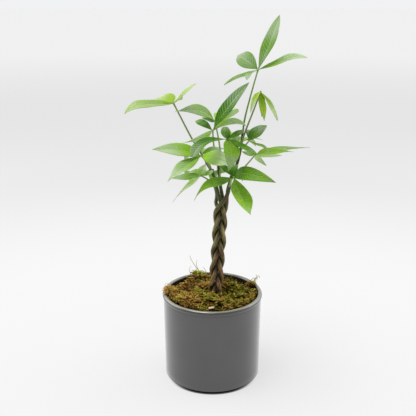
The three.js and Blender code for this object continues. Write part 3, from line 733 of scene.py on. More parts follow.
def plait_point(strand, height):
    """A strand of the plait swings from side to side once a pitch, and to front and back twice."""
    phase = ((height - PLAIT_LEFT_AT) / PLAIT_PITCH + strand / STRANDS - 0.25) * TURN
    side = PLAIT_SIDE * (math.sin(phase) - PLAIT_POINT * math.sin(3 * phase))
    return Vector((trunk_x(height) + side, PLAIT_DEPTH * math.sin(2 * phase), height))


def moss_height(x, y):
    """The height of the moss above the soil: a lumpy cushion that is lower at the pot's wall."""
    outward = math.hypot(x, y) / potting_room(SOIL_TOP)
    mound = MOSS_THICKNESS + (MOSS_EDGE_THICKNESS - MOSS_THICKNESS) * outward**3
    for *spot, rise in MOSS_CUSHIONS:
        mound += rise * nearness(x, y, *spot)
    wide = math.sin(x * 0.21 + 1.3) * math.cos(y * 0.24 - 0.6)
    fine = math.sin(x * 0.52 - y * 0.31 + 0.8) * math.cos(y * 0.47 + x * 0.22)
    return mound + MOSS_RELIEF * (0.6 * wide + 0.5 * fine)


def wall_sink(x, y):
    """1 at the wall behind, where the moss sinks and thins out, but for one tuft, and 0 elsewhere."""
    return smoothstep(math.hypot(x, y), 36, 52) * smoothstep(y, -4, 12) * (1 - nearness(x, y, *TUFT))


def cushion_height(x, y):
    """The height of the finished moss: low in the hollow before the trunk, and where it sinks at the wall."""
    return moss_height(x, y) - HOLLOW_DEPTH * nearness(x, y, *HOLLOW) - MOSS_SINK * wall_sink(x, y)


def toned(colour, factor):
    """A colour made darker or brighter."""
    return [min(channel * factor, 1) for channel in colour]


def front_contact_shadow(paint, y):
    """1 along the front of the pot's foot, where a contact shadow is painted as a dark line on the pot and on
    the floor, and 0 further back.
    """
    return paint.smooth(y, -58 * MM, -30 * MM, 1, 0)


def glaze_paint():
    """Matt grey stoneware glaze: paler on the lip, with a brown line at the rim and a painted contact shadow
    on the foot in front.
    """
    pot = bpy.context.scene.money_tree_pot
    paint = Paint("matt_glaze", ior=1.505, specular_ior_level=1, coat_roughness=0.15)
    x, y, z = paint.parts(paint.place())
    radius = (x * x + y * y) ** 0.5
    rim_middle = pot.diameter / 2 - POT_WALL * MM / 2
    lip_angle = paint.math("ARCTAN2", z - (pot.height - POT_WALL * MM / 2), radius - rim_middle)
    on_lip = paint.smooth(lip_angle, 0.6, 0.95) * paint.smooth(lip_angle, 2.0, 2.4, 1, 0)
    line = paint.smooth(abs(lip_angle - 0.42), 0.1, 0.4, 0.9, 0)
    above = paint.smooth(z, pot.height * 0.93, pot.height * 0.955)
    wide = paint.noise(22, 4)
    body = paint.over(toned(pot.glaze, 0.6), toned(pot.glaze, 1.4), wide, 0.35, 0.65)
    body = paint.over(body, toned(pot.glaze, 0.7), z, 0, pot.height * 0.9, 0.5, 0)
    body = paint.over(body, toned(pot.glaze, 1.45), paint.noise(900, 2), 0.4, 0.75, 0, 0.25)
    lip = paint.over(pot.lip, toned(pot.lip, 0.8), paint.noise(160, 3), 0.35, 0.65)
    body = paint.mix(on_lip * above, body, lip)
    body = paint.mix(line * above, body, pot.rim_line)
    body = paint.over(body, pot.inside, radius, rim_middle - 2.6 * MM, rim_middle - 1.6 * MM, 1, 0)
    # Painted contact shadow: along the front the foot is black, and Metallic and a thinner coat take its
    # reflection away.
    foot = paint.smooth(z, 2.4 * MM, 3.6 * MM, 1, 0) * front_contact_shadow(paint, y)
    paint.set("Base Color", paint.mix(foot, body, (0, 0, 0)))
    paint.set("Metallic", foot)
    under_lip = paint.smooth(lip_angle, 0.2, 0.5, 1, 0)
    step = paint.smooth(z, pot.height - 8.2 * MM, pot.height - 7.4 * MM) * under_lip
    paint.set("Coat Weight", (0.8 - foot * 0.8) * (1 - step * 0.7))
    paint.set("Roughness", paint.smooth(wide, 0.3, 0.7, 0.15, 0.2))
    paint.bump(paint.noise(1500, 3) + wide * 2, 0.04)
    return paint


def soil_paint():
    """Dark crumbly potting soil."""
    moss = bpy.context.scene.money_tree_moss
    paint = Paint("potting_soil", roughness=0.95)
    crumbs = paint.cells(420)
    colour = paint.over(toned(moss.soil, 0.5), moss.soil, paint.noise(260, 5), 0.3, 0.7)
    paint.set("Base Color", paint.over(colour, toned(moss.soil, 1.7), crumbs, 0.1, 0.6))
    paint.bump(crumbs + paint.noise(1200, 4), 0.8)
    return paint


def moss_paint(name, colour, tip):
    """Moss sprigs with painted shade at their roots and bright tips, partly their own colour and partly
    painted highlight, each of its own tone.
    """
    moss = bpy.context.scene.money_tree_moss
    paint = Paint(name, specular_ior_level=0.15, subsurface_weight=0.1, subsurface_scale=MM)
    tone = paint.value("tone")
    reach = paint.value("reach")
    body = paint.over(toned(colour, 0.25), colour, tone, 0, 0.5)
    # Bright tips: partly the moss's own colour and partly painted highlight.
    body = paint.over(body, display(*tip), tone, 0.5, 1)
    body = paint.over(body, display(*tip), paint.noise(400, 2), 0.35, 0.7, 0, 0.35)
    # Painted shade: each sprig darkens towards its root.
    paint.set("Base Color", paint.over(body, moss.shade, reach, 0.1, 0.95, 0.98, 0))
    paint.set("Roughness", paint.smooth(reach, 0, 1, 0.9, 0.65))
    return paint


def litter_paint():
    """Dark fibre and humus that shows between the sprigs, its darkness partly its own colour and partly
    painted shade in the gaps.
    """
    moss = bpy.context.scene.money_tree_moss
    paint = Paint("moss_litter", roughness=0.95, specular_ior_level=0.2)
    fibre = paint.noise(700, 5, 0.7)
    colour = paint.over(toned(moss.shade, 0.35), moss.shade, fibre, 0.35, 0.7)
    paint.set("Base Color", paint.over(colour, toned(moss.olive, 0.5), paint.noise(150, 3), 0.5, 0.75))
    paint.bump(fibre, 1.2)
    return paint


def chip_paint():
    """Pale bark with fibres along the chip."""
    moss = bpy.context.scene.money_tree_moss
    paint = Paint("bark_chip", roughness=0.8)
    fibre = paint.noise(500, 3, 0.6, paint.stretched(0.2, 1, 1))
    paint.set("Base Color", paint.over(toned(moss.chip, 0.7), moss.chip, fibre, 0.35, 0.7))
    paint.bump(fibre, 0.4)
    return paint


def bark_paint():
    """Smooth young bark: grey brown low down, olive higher up, green near the tips, with painted shade in the
    creases and painted highlights on the crowns of the strands.
    """
    trunk = bpy.context.scene.money_tree_trunk
    paint = Paint("plaited_bark", specular_ior_level=0.25)
    x, y, z = paint.parts(paint.place())
    across, along = paint.uv()
    strand = paint.value("strand")
    around = paint.add("ShaderNodeCombineXYZ", {}, {0: across * 4.6, 1: along * 9, 2: strand * 7})
    streaks = paint.noise(2.2, 5, 0.65, around)
    patches = paint.noise(95, 3)
    where = paint.add("ShaderNodeCombineXYZ", {}, {0: z * 38, 1: strand * 3.7})
    tint = paint.noise(1, 1, 0.5, where)
    green_from = 222 * MM
    young = paint.smooth(z, 0.1, 0.21, -0.3, 0.3)
    pale_bark = toned(trunk.bark, 2.6)
    bark = paint.over(trunk.bark, trunk.olive_bark, tint + young, 0.42, 0.56)
    bark = paint.over(bark, trunk.scar, tint, 0.36, 0.44, 0.3, 0)
    bark = paint.over(bark, toned(trunk.bark, 1.5), patches, 0.5, 0.66, 0, 0.5)
    bark = paint.over(bark, toned(trunk.bark, 0.4), streaks, 0.4, 0.56, 0.7, 0)
    bark = paint.over(bark, toned(trunk.olive_bark, 2.6), streaks, 0.56, 0.7, 0, 0.5)
    bark = paint.over(bark, trunk.green_stem, z + (patches - 0.5) * 0.05, green_from, 0.26, 0, 0.95)
    foot = paint.smooth(z, 0.118, 0.15, 0.6, 0)
    bark = paint.mix(foot * paint.smooth(patches, 0.45, 0.6), bark, pale_bark)
    specks = paint.cells(520, paint.stretched(1, 1, 0.5))
    bark = paint.over(bark, pale_bark, specks, 0.05, 0.16, 0.5, 0)
    scar_x, scar_y, scar_z = (place * MM for place in SCAR_PLACE)
    from_scar = ((x - scar_x) ** 2 + (y - scar_y) ** 2 + ((z - scar_z) * 0.5) ** 2) ** 0.5
    bark = paint.over(bark, trunk.scar, from_scar, 2 * MM, 4.5 * MM, 0.7, 0)
    # Painted highlight: the crowns of the strands are paler, most of all near the foot.
    crown = paint.value("crown") * paint.smooth(streaks, 0.35, 0.6, 0.15, 0.6)
    crown = crown * paint.smooth(z, green_from, 0.24, 1, 0.1) * paint.smooth(z, 0.13, 0.18, 1.35, 1)
    bark = paint.mix(crown, bark, paint.scaled(bark, 2.7, 2.6, 2.9))
    # Painted shade: the bark turns dark in the creases where strands meet.
    crease_shade = paint.smooth(paint.value("crease") + (streaks - 0.5) * 0.5, 0, 0.85, 0, 0.97)
    paint.set("Base Color", paint.mix(crease_shade, bark, trunk.groove_shade))
    paint.set("Roughness", paint.smooth(streaks, 0.4, 0.65, 0.55, 0.34) + crease_shade * 0.4)
    paint.bump(streaks + specks * 0.3, 0.7)
    return paint


def stalk_paint(name, shown, shade):
    """A green leaf stalk with fine lengthwise streaks, darker towards the stem."""
    paint = Paint(
        name, roughness=0.45, specular_ior_level=0.25, subsurface_weight=0.1, subsurface_radius=(0.5, 1, 0.2),
        subsurface_scale=MM,
    )
    colour = display(*shown)
    along = paint.uv()[1]
    streaks = paint.noise(600, 3, 0.6, paint.stretched(1, 1, 0.2))
    base = paint.over(display(*shade), colour, along, 0, 0.55)
    base = paint.over(base, toned(colour, 1.8), along, 0.96, 1, 0, 0.6)
    paint.set("Base Color", paint.over(base, toned(colour, 1.25), streaks, 0.3, 0.7, 0, 0.5))
    paint.bump(streaks, 0.1)
    return paint


def leaf_paint(name, shaded_range, lit_range, vein, lit_vein, under=None):
    """A leaf's skin: a pale rib, veins that sweep forward and a mottle, in greens painted from shaded to
    light and to lit from behind. The underside is paler and matt.
    """
    paint = Paint(
        name, subsurface_weight=0.22, subsurface_radius=(0.6, 1, 0.25), subsurface_scale=1.2 * MM,
        specular_ior_level=0.07, coat_roughness=0.34,
    )
    across, along = paint.uv()
    # Towards the tip a leaflet is painted lighter and with less glow, partly its own colour and partly a
    # painted sheen.
    tipward = paint.smooth(along, 0.3, 0.95, -0.5, 0.5)
    tone = paint.value("tone") + tipward * 0.26
    mottle = paint.noise(60, 4)
    glow = paint.value("glow") + paint.smooth(mottle, 0.3, 0.7, -0.25, 0.25) - tipward * 0.95
    out = abs(across * 2 - 1)
    rib = paint.smooth(out, 0.02, 0.09, 1, 0)
    alternate = paint.math("GREATER_THAN", across, 0.5) * 0.45
    phase = (along - out**1.2 * 0.13) * VEINS + alternate
    crest = abs(paint.math("FRACT", phase, 0) - 0.5) * 2
    fade = paint.smooth(out, 0.7, 0.97, 1, 0)
    veins = paint.smooth(crest, 0.08, 0.36, 1, 0) * fade
    # Painted light: the glow mixes in the lit greens of a blade with light behind it, and varies with the
    # mottle.
    backlight = paint.smooth(glow, 0, 1)
    body = paint.mix(backlight, paint.mix(tone, *shaded_range), paint.mix(tone, *lit_range))
    vein = paint.mix(backlight, vein, lit_vein)
    body = paint.over(body, paint.mix(0.35, body, vein), paint.noise(120, 4), 0.35, 0.7, 0, 0.3)
    body = paint.over(body, vein, paint.noise(900, 2), 0.4, 0.8, 0, 0.1)
    body = paint.over(body, vein, out, 0.9, 1, 0, 0.35)
    if under:
        body = paint.mix(0.55 - backlight * 0.4, body, paint.mix(tone, toned(under, 0.55), under))
        veined, dull, coat, sink = 0.3, (0.5, 0.6), 0.2, 1
    else:
        veined = 0.26 + (1 - backlight) * paint.smooth(tone, 0.05, 0.35, 0.24, 0)
        dull, coat, sink = (0.38, 0.48), 0.5, -1
    body = paint.mix(veins * veined, body, vein)
    paint.set("Base Color", paint.mix(rib * (0.7 - backlight * 0.35), body, vein))
    paint.set("Roughness", paint.smooth(mottle, 0.3, 0.7, *dull))
    paint.set("Coat Weight", paint.smooth(glow, 0, 0.8, coat, 0.02))
    quilt = paint.smooth(crest, 0, 1) * fade
    paint.bump(quilt * 0.5 * -sink + veins * 0.4 * sink + rib * sink, 0.35)
    return paint


class MONEYTREE_OT_stage(bpy.types.Operator):
    """Sets up the camera, the pale floor and the soft studio light"""

    bl_idname = "moneytree.stage"
    bl_label = "Stage"

    def execute(self, context):
        stage = context.scene.money_tree_stage
        self.add_camera(context, stage)
        self.add_floor(context, stage)
        for name, place, watts in LAMPS:
            lamp = self.add_light(name, "AREA", watts, Vector(LAMP_AIM) - Vector(place))
            lamp.location = place
            lamp.data.shape = "SQUARE"
            lamp.data.size = LAMP_SIZE
            lamp.visible_camera = False
        sun = self.add_light("light_above", "SUN", SUN_STRENGTH, Vector(SUN_WAY))
        sun.data.angle = SUN_ANGLE
        self.add_sky(context, stage)
        context.scene.view_settings.view_transform = "Standard"
        return {"FINISHED"}

    def add_camera(self, context, stage):
        camera = placed("camera", bpy.data.cameras.new("camera"))
        camera.data.lens = stage.camera_lens
        camera.data.sensor_width = 36
        camera.data.clip_start = 0.01
        camera.data.clip_end = stage.floor_size
        camera.location = stage.camera_place
        camera.rotation_euler = (math.pi / 2 - stage.camera_pitch, 0, 0)
        context.scene.camera = camera

    def add_floor(self, context, stage):
        bm = bmesh.new()
        bmesh.ops.create_grid(bm, x_segments=8, y_segments=8, size=stage.floor_size / 2)
        paint = Paint("studio_floor", roughness=1, specular_ior_level=0)
        x, y = paint.parts(paint.place())[:2]
        away = (x * x + y * y) ** 0.5
        # Painted fall-off of light: the floor darkens towards a metre out and grows pale again far off.
        fade = paint.smooth(away, 0.35, 1.1, 0, FLOOR_FADE) - paint.smooth(away, 1.6, 6.5, 0, FLOOR_FADE)
        foot = context.scene.money_tree_pot.base_diameter / 2
        # Painted contact shadow on the floor along the front of the pot's foot.
        fade = fade + paint.smooth(away, foot, foot + 2 * MM, 0.9, 0) * front_contact_shadow(paint, y)
        paint.set("Base Color", paint.mix(fade, stage.floor_colour, (0, 0, 0)))
        paint.set("Emission Color", paint.mix(fade, stage.floor_light, (0, 0, 0)))
        paint.set("Emission Strength", 1)
        floor = placed("floor", mesh_from("floor", bm))
        floor.data.materials.append(paint.material)

    def add_light(self, name, kind, energy, way):
        """Adds a lamp that shines in a direction."""
        lamp = placed(name, bpy.data.lights.new(name, kind))
        lamp.data.energy = energy
        lamp.rotation_euler = way.to_track_quat("-Z", "Y").to_euler()
        return lamp

    def add_sky(self, context, stage):
        """Light all round, weaker from the front. The camera sees it evenly bright."""
        sky = Sky("studio")
        behind = sky.parts(sky.direction())[1]
        light = sky.smooth(behind, -0.95, 0.25, SKY_FRONT, SKY_BEHIND)
        seen = sky.add("ShaderNodeLightPath", {}, {}, "Is Camera Ray")
        sky.set("Color", stage.sky_colour)
        sky.set("Strength", light * (1 - seen) + seen * BACKDROP)
        context.scene.world = sky.world


class MONEYTREE_OT_pot(bpy.types.Operator):
    """Turns the pot with its round lip, chamfered base and matt glaze"""

    bl_idname = "moneytree.pot"
    bl_label = "Pot"

    def execute(self, context):
        pot = context.scene.money_tree_pot
        foot = pot.base_diameter / 2 / MM
        neck = pot.neck_diameter / 2 / MM
        lip = POT_WALL / 2
        rim = pot.diameter / 2 / MM - lip
        height = pot.height / MM
        profile = [(0, FOOT_RING[0][1])] + [(foot - inward, z) for inward, z in FOOT_RING]
        edge = POT_CHAMFER * 0.3
        profile += [(foot - POT_CHAMFER, 0), (foot - edge, edge), (foot, POT_CHAMFER)]
        rise = height - 2 * lip - NECK_DROP - POT_CHAMFER
        for i in range(1, WALL_STEPS + 1):
            profile.append((foot + (neck - foot) * i / WALL_STEPS, POT_CHAMFER + rise * i / WALL_STEPS))
        profile.insert(-1, (neck, POT_CHAMFER + rise - NECK_BEND))
        for i in range(LIP_STEPS + 1):
            angle = LIP_FROM + (math.pi - LIP_FROM) * i / LIP_STEPS
            profile.append((rim + lip * math.cos(angle), height - lip + lip * math.sin(angle)))
        inside = foot - POT_WALL
        profile += [(inside, POT_FLOOR + POT_CHAMFER), (inside - POT_CHAMFER, POT_FLOOR), (0, POT_FLOOR)]
        finished("pot_glazed", spun(profile, POT_STEPS), [glaze_paint()], "ceramic", "pot")
        return {"FINISHED"}


class MONEYTREE_OT_soil(bpy.types.Operator):
    """Gives the soil its crumbly surface"""

    bl_idname = "moneytree.soil"
    bl_label = "Soil"

    def execute(self, context):
        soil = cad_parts["soil"]
        soil.data.materials.clear()
        soil.data.materials.append(soil_paint().material)
        return {"FINISHED"}


class MONEYTREE_OT_moss(bpy.types.Operator):
    """Lays the matted moss round the trunk: litter, clumps of sprigs, long shoots and a chip of bark"""

    bl_idname = "moneytree.moss"
    bl_label = "Moss"

    def execute(self, context):
        moss = context.scene.money_tree_moss
        rng = random.Random(SEED)
        self.add_litter()
        self.add_chip()
        shapes = self.sprig_shapes(rng)
        kinds = (
            ("moss_dry", moss.gold, DRY_TIP),
            ("moss_olive", moss.olive, OLIVE_TIP),
            ("moss_green", moss.green, GREEN_TIP),
        )
        pieces = [bmesh.new() for kind in kinds]
        for x, y in self.clump_places(moss.clumps, rng):
            kind = self.kind_at(x, y, rng)
            self.add_clump(pieces[kind], shapes, x, y, moss, rng)
        for x, y, height in MOSS_SPILLS:
            self.add_clump(pieces[rng.choice((0, 0, 1))], shapes, x, y, moss, rng, height)
        for shape in shapes:
            bpy.data.meshes.remove(shape)
        for bm, (name, colour, tip) in zip(pieces, kinds):
            finished(name, bm, [moss_paint(name, colour, tip)], "moss")
        self.add_shoots(moss)
        return {"FINISHED"}

    def kind_at(self, x, y, rng):
        """Draws 0 for dry, 1 for olive or 2 for green moss, by where each grows thickest."""
        gold = 0.12 + 1.6 * sum(nearness(x, y, *spot) for spot in GOLD_MOSS)
        green = 0.04 + 1.6 * sum(nearness(x, y, *spot) for spot in GREEN_MOSS)
        return rng.choices((0, 1, 2), (gold, 0.5, green))[0]

    def clump_places(self, count, rng):
        """Middles of the clumps, spread evenly between the trunk and the wall."""
        places = []
        spacing = 0.84 * MOSS_REACH * math.sqrt(math.pi / count)
        for trial in range(count * 60):
            angle = rng.random() * TURN
            radius = MOSS_REACH * math.sqrt(rng.random())
            x, y = radius * math.cos(angle), radius * math.sin(angle)
            clear = all(math.hypot(x - a, y - b) > spacing for a, b in places)
            clear = clear and math.hypot(x - trunk_x(SOIL_TOP) - 1, y + 2) > TRUNK_CLEAR
            if clear and math.hypot(x - CHIP_PLACE[0], y - CHIP_PLACE[1]) > CHIP_CLEAR:
                places.append((x, y))
            if len(places) == count:
                break
        return places

    def add_clump(self, bm, shapes, x, y, moss, rng, height=None):
        """A small cushion of sprigs that lean outwards. Low places get none, which leaves dark gaps.

        A clump that spills over the lip has the height of its root given, and is never left out.
        """
        hump = 1.3 * noise.fractal(Vector((x, y, 4)) / MOSS_HUMP_SIZE, 0.6, 2.1, 3) + rng.uniform(-0.25, 0.25)
        climb = max((CLIMB_WAY[0] * x + CLIMB_WAY[1] * y) / MOSS_REACH, 0) ** 3
        base = height or MOSS_LOW + cushion_height(x, y) - 2.6 + MOSS_HUMP * hump + MOSS_CLIMB * climb
        if hump < MOSS_GAP and not height:
            return
        thin = 0 if height else wall_sink(x, y)
        base -= 0.5 * thin * MOSS_HUMP * max(hump, 0)
        # Painted light and shade: a clump's tone is lighter where it humps high or climbs the wall and darker
        # towards the back. On top it differs at random and by MOSS_LIGHT.
        tone_and_shade = 0.3 + 0.7 * hump + 0.2 * climb - 0.16 * smoothstep(y, 0, 25) + rng.gauss(0, 0.2)
        tone_and_shade += sum(change * nearness(x, y, *spot) for *spot, change in MOSS_LIGHT)
        spread = rng.uniform(*CLUMP_SPREAD)
        wall = MOSS_REACH + (SPILL_PAST if height else EDGE_PAST)
        for i in range(moss.sprigs):
            angle = rng.random() * TURN
            lean = rng.uniform(*SPRIG_LEAN)
            away = spread * math.sqrt(rng.random())
            rise = base + 1 + CLUMP_DOME * (1 - (away / spread) ** 2)
            root = Vector((x + away * math.cos(angle), y + away * math.sin(angle), rise))
            bright = rng.random() < BRIGHT_SHARE
            size = moss.sprig_length * rng.uniform(*(BRIGHT_LENGTH if bright else DULL_LENGTH))
            size *= 1 - 0.4 * thin
            heading = angle + rng.gauss(0, 0.7)
            reach = math.hypot(root.x, root.y) + 0.7 * size / MM
            if reach > wall:
                root -= Vector((x, y, 0)).normalized() * (reach - wall)
            turn = Matrix.Rotation(heading, 4, "Z") @ Matrix.Rotation(lean, 4, "Y")
            tone = rng.gauss(tone_and_shade + (0.5 if bright else -0.26), 0.2)
            place = Matrix.Translation(root * MM) @ turn @ Matrix.Scale(size, 4)
            self.add_sprig(bm, rng.choice(shapes), place, min(max(tone, 0), 1))

    def add_sprig(self, bm, shape, place, tone):
        values = shape.attributes["tone"].data
        values.foreach_set("value", [tone] * len(values))
        shape.transform(place)
        bm.from_mesh(shape)
        shape.transform(place.inverted())

    def sprig_shapes(self, rng):
        """A few curled sprigs, 1 long, each a thin shoot with small leaves along it."""
        shapes = []
        for curl in SPRIG_CURLS:
            route = [Vector((0, 0, 0))]
            heading, lean = 0.0, 0.95
            for step in range(SPRIG_PARTS):
                level = math.cos(lean)
                way = Vector((math.cos(heading) * level, math.sin(heading) * level, math.sin(lean)))
                route.append(route[-1] + way / SPRIG_PARTS)
                heading += curl / SPRIG_PARTS
                lean -= 0.3
            bm = new_bmesh()
            add_tube(bm, [p / MM for p in route], 3, lambda along, angle: (0.08 - 0.045 * along) / MM)
            for i in range(SPRIG_LEAVES):
                along = 0.25 + 0.7 * i / (SPRIG_LEAVES - 1)
                index = min(int(along * SPRIG_PARTS), SPRIG_PARTS - 1)
                start, end = route[index : index + 2]
                at = start.lerp(end, along * SPRIG_PARTS - index)
                size = 0.24 * (1.15 - 0.5 * along) * rng.uniform(0.8, 1.2)
                self.add_leaflet(bm, at, (end - start).normalized(), i, size, 0.055)
            mesh = mesh_from("sprig", bm)
            mesh.attributes.new("tone", "FLOAT", "POINT")
            reach = mesh.attributes.new("reach", "FLOAT", "POINT")
            reach.data.foreach_set("value", [min(vert.co.length * 1.15, 1) for vert in mesh.vertices])
            shapes.append(mesh)
        return shapes

    def add_leaflet(self, bm, at, way, turn, size, radius):
        """One moss leaf: a thin spike that points forward and out from its shoot."""
        out = way.cross(Vector((math.cos(turn * 2.4), math.sin(turn * 2.4), 0.3))).normalized()
        aim = (out * 0.9 + way * 0.8).normalized()
        matrix = Matrix.Translation(at + aim * size * 0.4) @ aim.to_track_quat("Z", "X").to_matrix().to_4x4()
        bmesh.ops.create_cone(
            bm, cap_ends=True, segments=3, radius1=radius, radius2=0, depth=size, matrix=matrix
        )

    def add_shoots(self, moss):
        """The long shoots, with spiky leaves along them."""
        bm = new_bmesh()
        tone, reach = float_layers(bm, "tone", "reach")
        for radius, places in SHOOTS:
            route = smooth_route(places, SHOOT_STEPS)
            add_tube(bm, route, 6, lambda along, angle: radius * (1.15 - 0.6 * along))
            for i in range(1, SHOOT_STEPS):
                way = (route[i] - route[i - 1]).normalized()
                self.add_leaflet(bm, route[i] * MM, way, i, (1.9 - i * 0.04) * MM, 0.26 * MM)
        for vert in bm.verts:
            vert[tone] = 0.5
            # Painted shade: a shoot is dark low down, where it goes into the moss.
            vert[reach] = smoothstep(vert.co.z / MM, 108, 118)
        finished("moss_shoots", bm, [moss_paint("moss_shoots", moss.shoot, SHOOT_TIP)], "moss")

    def add_chip(self):
        """A chip of bark on the moss at the front."""
        bm = bmesh.new()
        bmesh.ops.create_cube(bm, size=1)
        turn = Matrix.Rotation(0.3, 4, "X") @ Matrix.Rotation(0.25, 4, "Z")
        size = Matrix.Diagonal((*(Vector(CHIP_SIZE) * MM), 1))
        bm.transform(Matrix.Translation(Vector(CHIP_PLACE) * MM) @ turn @ size)
        bmesh.ops.bevel(
            bm, geom=bm.edges[:], offset=CHIP_BEVEL * MM, segments=2, profile=0.6, affect="EDGES", material=-1
        )
        finished("bark_chip", bm, [chip_paint()], "moss")

    def add_litter(self):
        """The mat under the sprigs: a lumpy ring with a closed underside, moved to fit round the trunk."""
        outer = potting_room(SOIL_TOP) - 0.6
        inner = 5
        profile = [(inner, MOSS_LOW)]
        for i in range(LITTER_RINGS + 1):
            profile.append((inner + (outer - inner) * i / LITTER_RINGS, MOSS_LOW + 5))
        profile += [(outer, MOSS_LOW), (inner, MOSS_LOW)]
        bm = spun(profile, LITTER_STEPS)
        for vert in bm.verts:
            x, y, z = vert.co / MM
            if z > MOSS_LOW + 1:
                rough = noise.fractal(Vector((x, y, 0)) * 0.35, 0.6, 2.1, 4)
                z = MOSS_LOW + cushion_height(x, y) - LITTER_UNDER + 1.5 * rough
            shift = smoothstep(outer - math.hypot(x, y), 0, outer - inner) * trunk_x(SOIL_TOP)
            vert.co = Vector((x + shift, y, z)) * MM
        finished("moss_litter", bm, [litter_paint()], "moss", "moss")


class MONEYTREE_OT_trunk(bpy.types.Operator):
    """Plaits the five stems and covers them with bark"""

    bl_idname = "moneytree.trunk"
    bl_label = "Trunk"

    def execute(self, context):
        paint = bark_paint()
        radius = context.scene.money_tree_trunk.strand_radius / MM
        lines = [self.centre_line(strand, stem) for strand, stem in enumerate(STEMS)]
        for strand, stem in enumerate(STEMS):
            places = self.places(strand, stem)
            route = smooth_route(places, LENGTH_STEPS)
            length = sum((b - a).length for a, b in zip(route, route[1:]))
            plaited = (PLAIT_HIGH - ROOT_DEPTH) / length
            route = smooth_route(places, round(length / STRAND_ROW))

            def radius_at(along, angle):
                thin = smoothstep(along, plaited * 0.97, 1)
                base = radius + 0.12 + (stem.tip - radius) * thin
                place = (math.cos(angle) * 1.5, math.sin(angle) * 1.5, along * length * 0.06 + strand * 9)
                ridges = noise.fractal(Vector(place), 0.6, 2.2, 3)
                knots = max(noise.noise(Vector((angle, along * length * 0.11, strand * 5.0))) - 0.35, 0)
                return base * (1 + 0.11 * ridges * (1 - 0.5 * thin) + 0.25 * knots * (1 - thin))

            bm = new_bmesh()
            add_tube(bm, route, STRAND_SIDES, radius_at)
            number, crease, crown = float_layers(bm, "strand", "crease", "crown")
            others = [line for i, line in enumerate(lines) if i != strand]
            for vert in bm.verts:
                nearest = min(line.find(vert.co / MM)[2] for line in others)
                vert[number] = strand
                # How much painted shade a crease gets, and how much painted highlight a crown gets.
                vert[crease] = 1 - smoothstep(nearest, radius, radius + CREASE_WIDTH)
                vert[crown] = smoothstep(nearest, radius + CROWN_FROM, radius + CROWN_FULL)
            finished(stem.name + "_bark", bm, [paint], "bark", stem.name)
        return {"FINISHED"}

    def centre_line(self, strand, stem):
        """A tree of points along the middle of a strand, to find how far from it a place lies."""
        route = smooth_route(self.places(strand, stem), NEAREST_STEPS)
        line = KDTree(len(route))
        for i, place in enumerate(route):
            line.insert(place, i)
        line.balance()
        return line

    def places(self, strand, stem):
        """The middle line of a whole strand: rooted foot, plait and stem."""
        bottom = plait_point(strand, PLAIT_LOW)
        middle = trunk_x(PLAIT_LOW)
        places = []
        for share in (1, 0.66, 0.33):
            spread = 1 + (ROOT_SPREAD - 1) * share
            depth = PLAIT_LOW - (PLAIT_LOW - ROOT_DEPTH) * share
            places.append((middle + (bottom.x - middle) * spread, bottom.y * spread, depth))
        places += [plait_point(strand, height) for height in range(PLAIT_LOW, PLAIT_HIGH + 1, PLAIT_STEP)]
        return places + list(stem.route)


class Blade:
    """The surface of one leaflet: folded along its rib, waved at its edges and arched from hub to tip."""

    def __init__(self, hub, shape, seed):
        self.shape = shape
        self.seed = seed
        tip = Vector(shape.tip)
        self.root = hub.lerp(tip, ROOT_SHARE)
        length = (tip - self.root).length
        self.droop = shape.hook * length
        self.end = tip + Vector((0, 0, self.droop))
        chord = self.end - self.root
        self.across = chord.cross(Vector(shape.face)).normalized()
        lift = self.across.cross(chord).normalized()
        self.middle = self.root.lerp(self.end, shape.bend) + lift * (shape.arch * length)

    def half_width(self, along):
        """Narrow at the root, widest near the middle and pointed at the tip."""
        widest, full = self.shape.widest, self.shape.full
        fall = full * (1 - widest) / widest
        swell = (along / widest) ** full * ((1 - along) / (1 - widest)) ** fall
        return max(self.shape.width / 2 * swell, LEAST_HALF_WIDTH * (1 - 0.8 * along))

    def point(self, across, along):
        """A point of the upper surface, with across from -1 to 1 and along from 0 to 1."""
        back = 1 - along
        nod = max(along - HOOK_FROM, 0) / (1 - HOOK_FROM)
        centre = self.root * (back * back) + self.middle * (2 * back * along) + self.end * (along * along)
        centre.z -= self.droop * nod * nod
        tangent = (self.middle - self.root) * back + (self.end - self.middle) * along
        tangent.z -= self.droop * nod / (1 - HOOK_FROM)
        normal = self.across.cross(tangent).normalized()
        half = self.half_width(along)
        edge = abs(across)
        sign = (across > 0) - (across < 0)
        wave = WAVE * self.shape.width * edge * math.sin(along * 9 + self.seed * 2.1 + sign * 0.9)
        rise = BLADE_FOLD * half * edge + wave * math.sin(along * math.pi)
        return centre + self.across * (across * half) + normal * rise


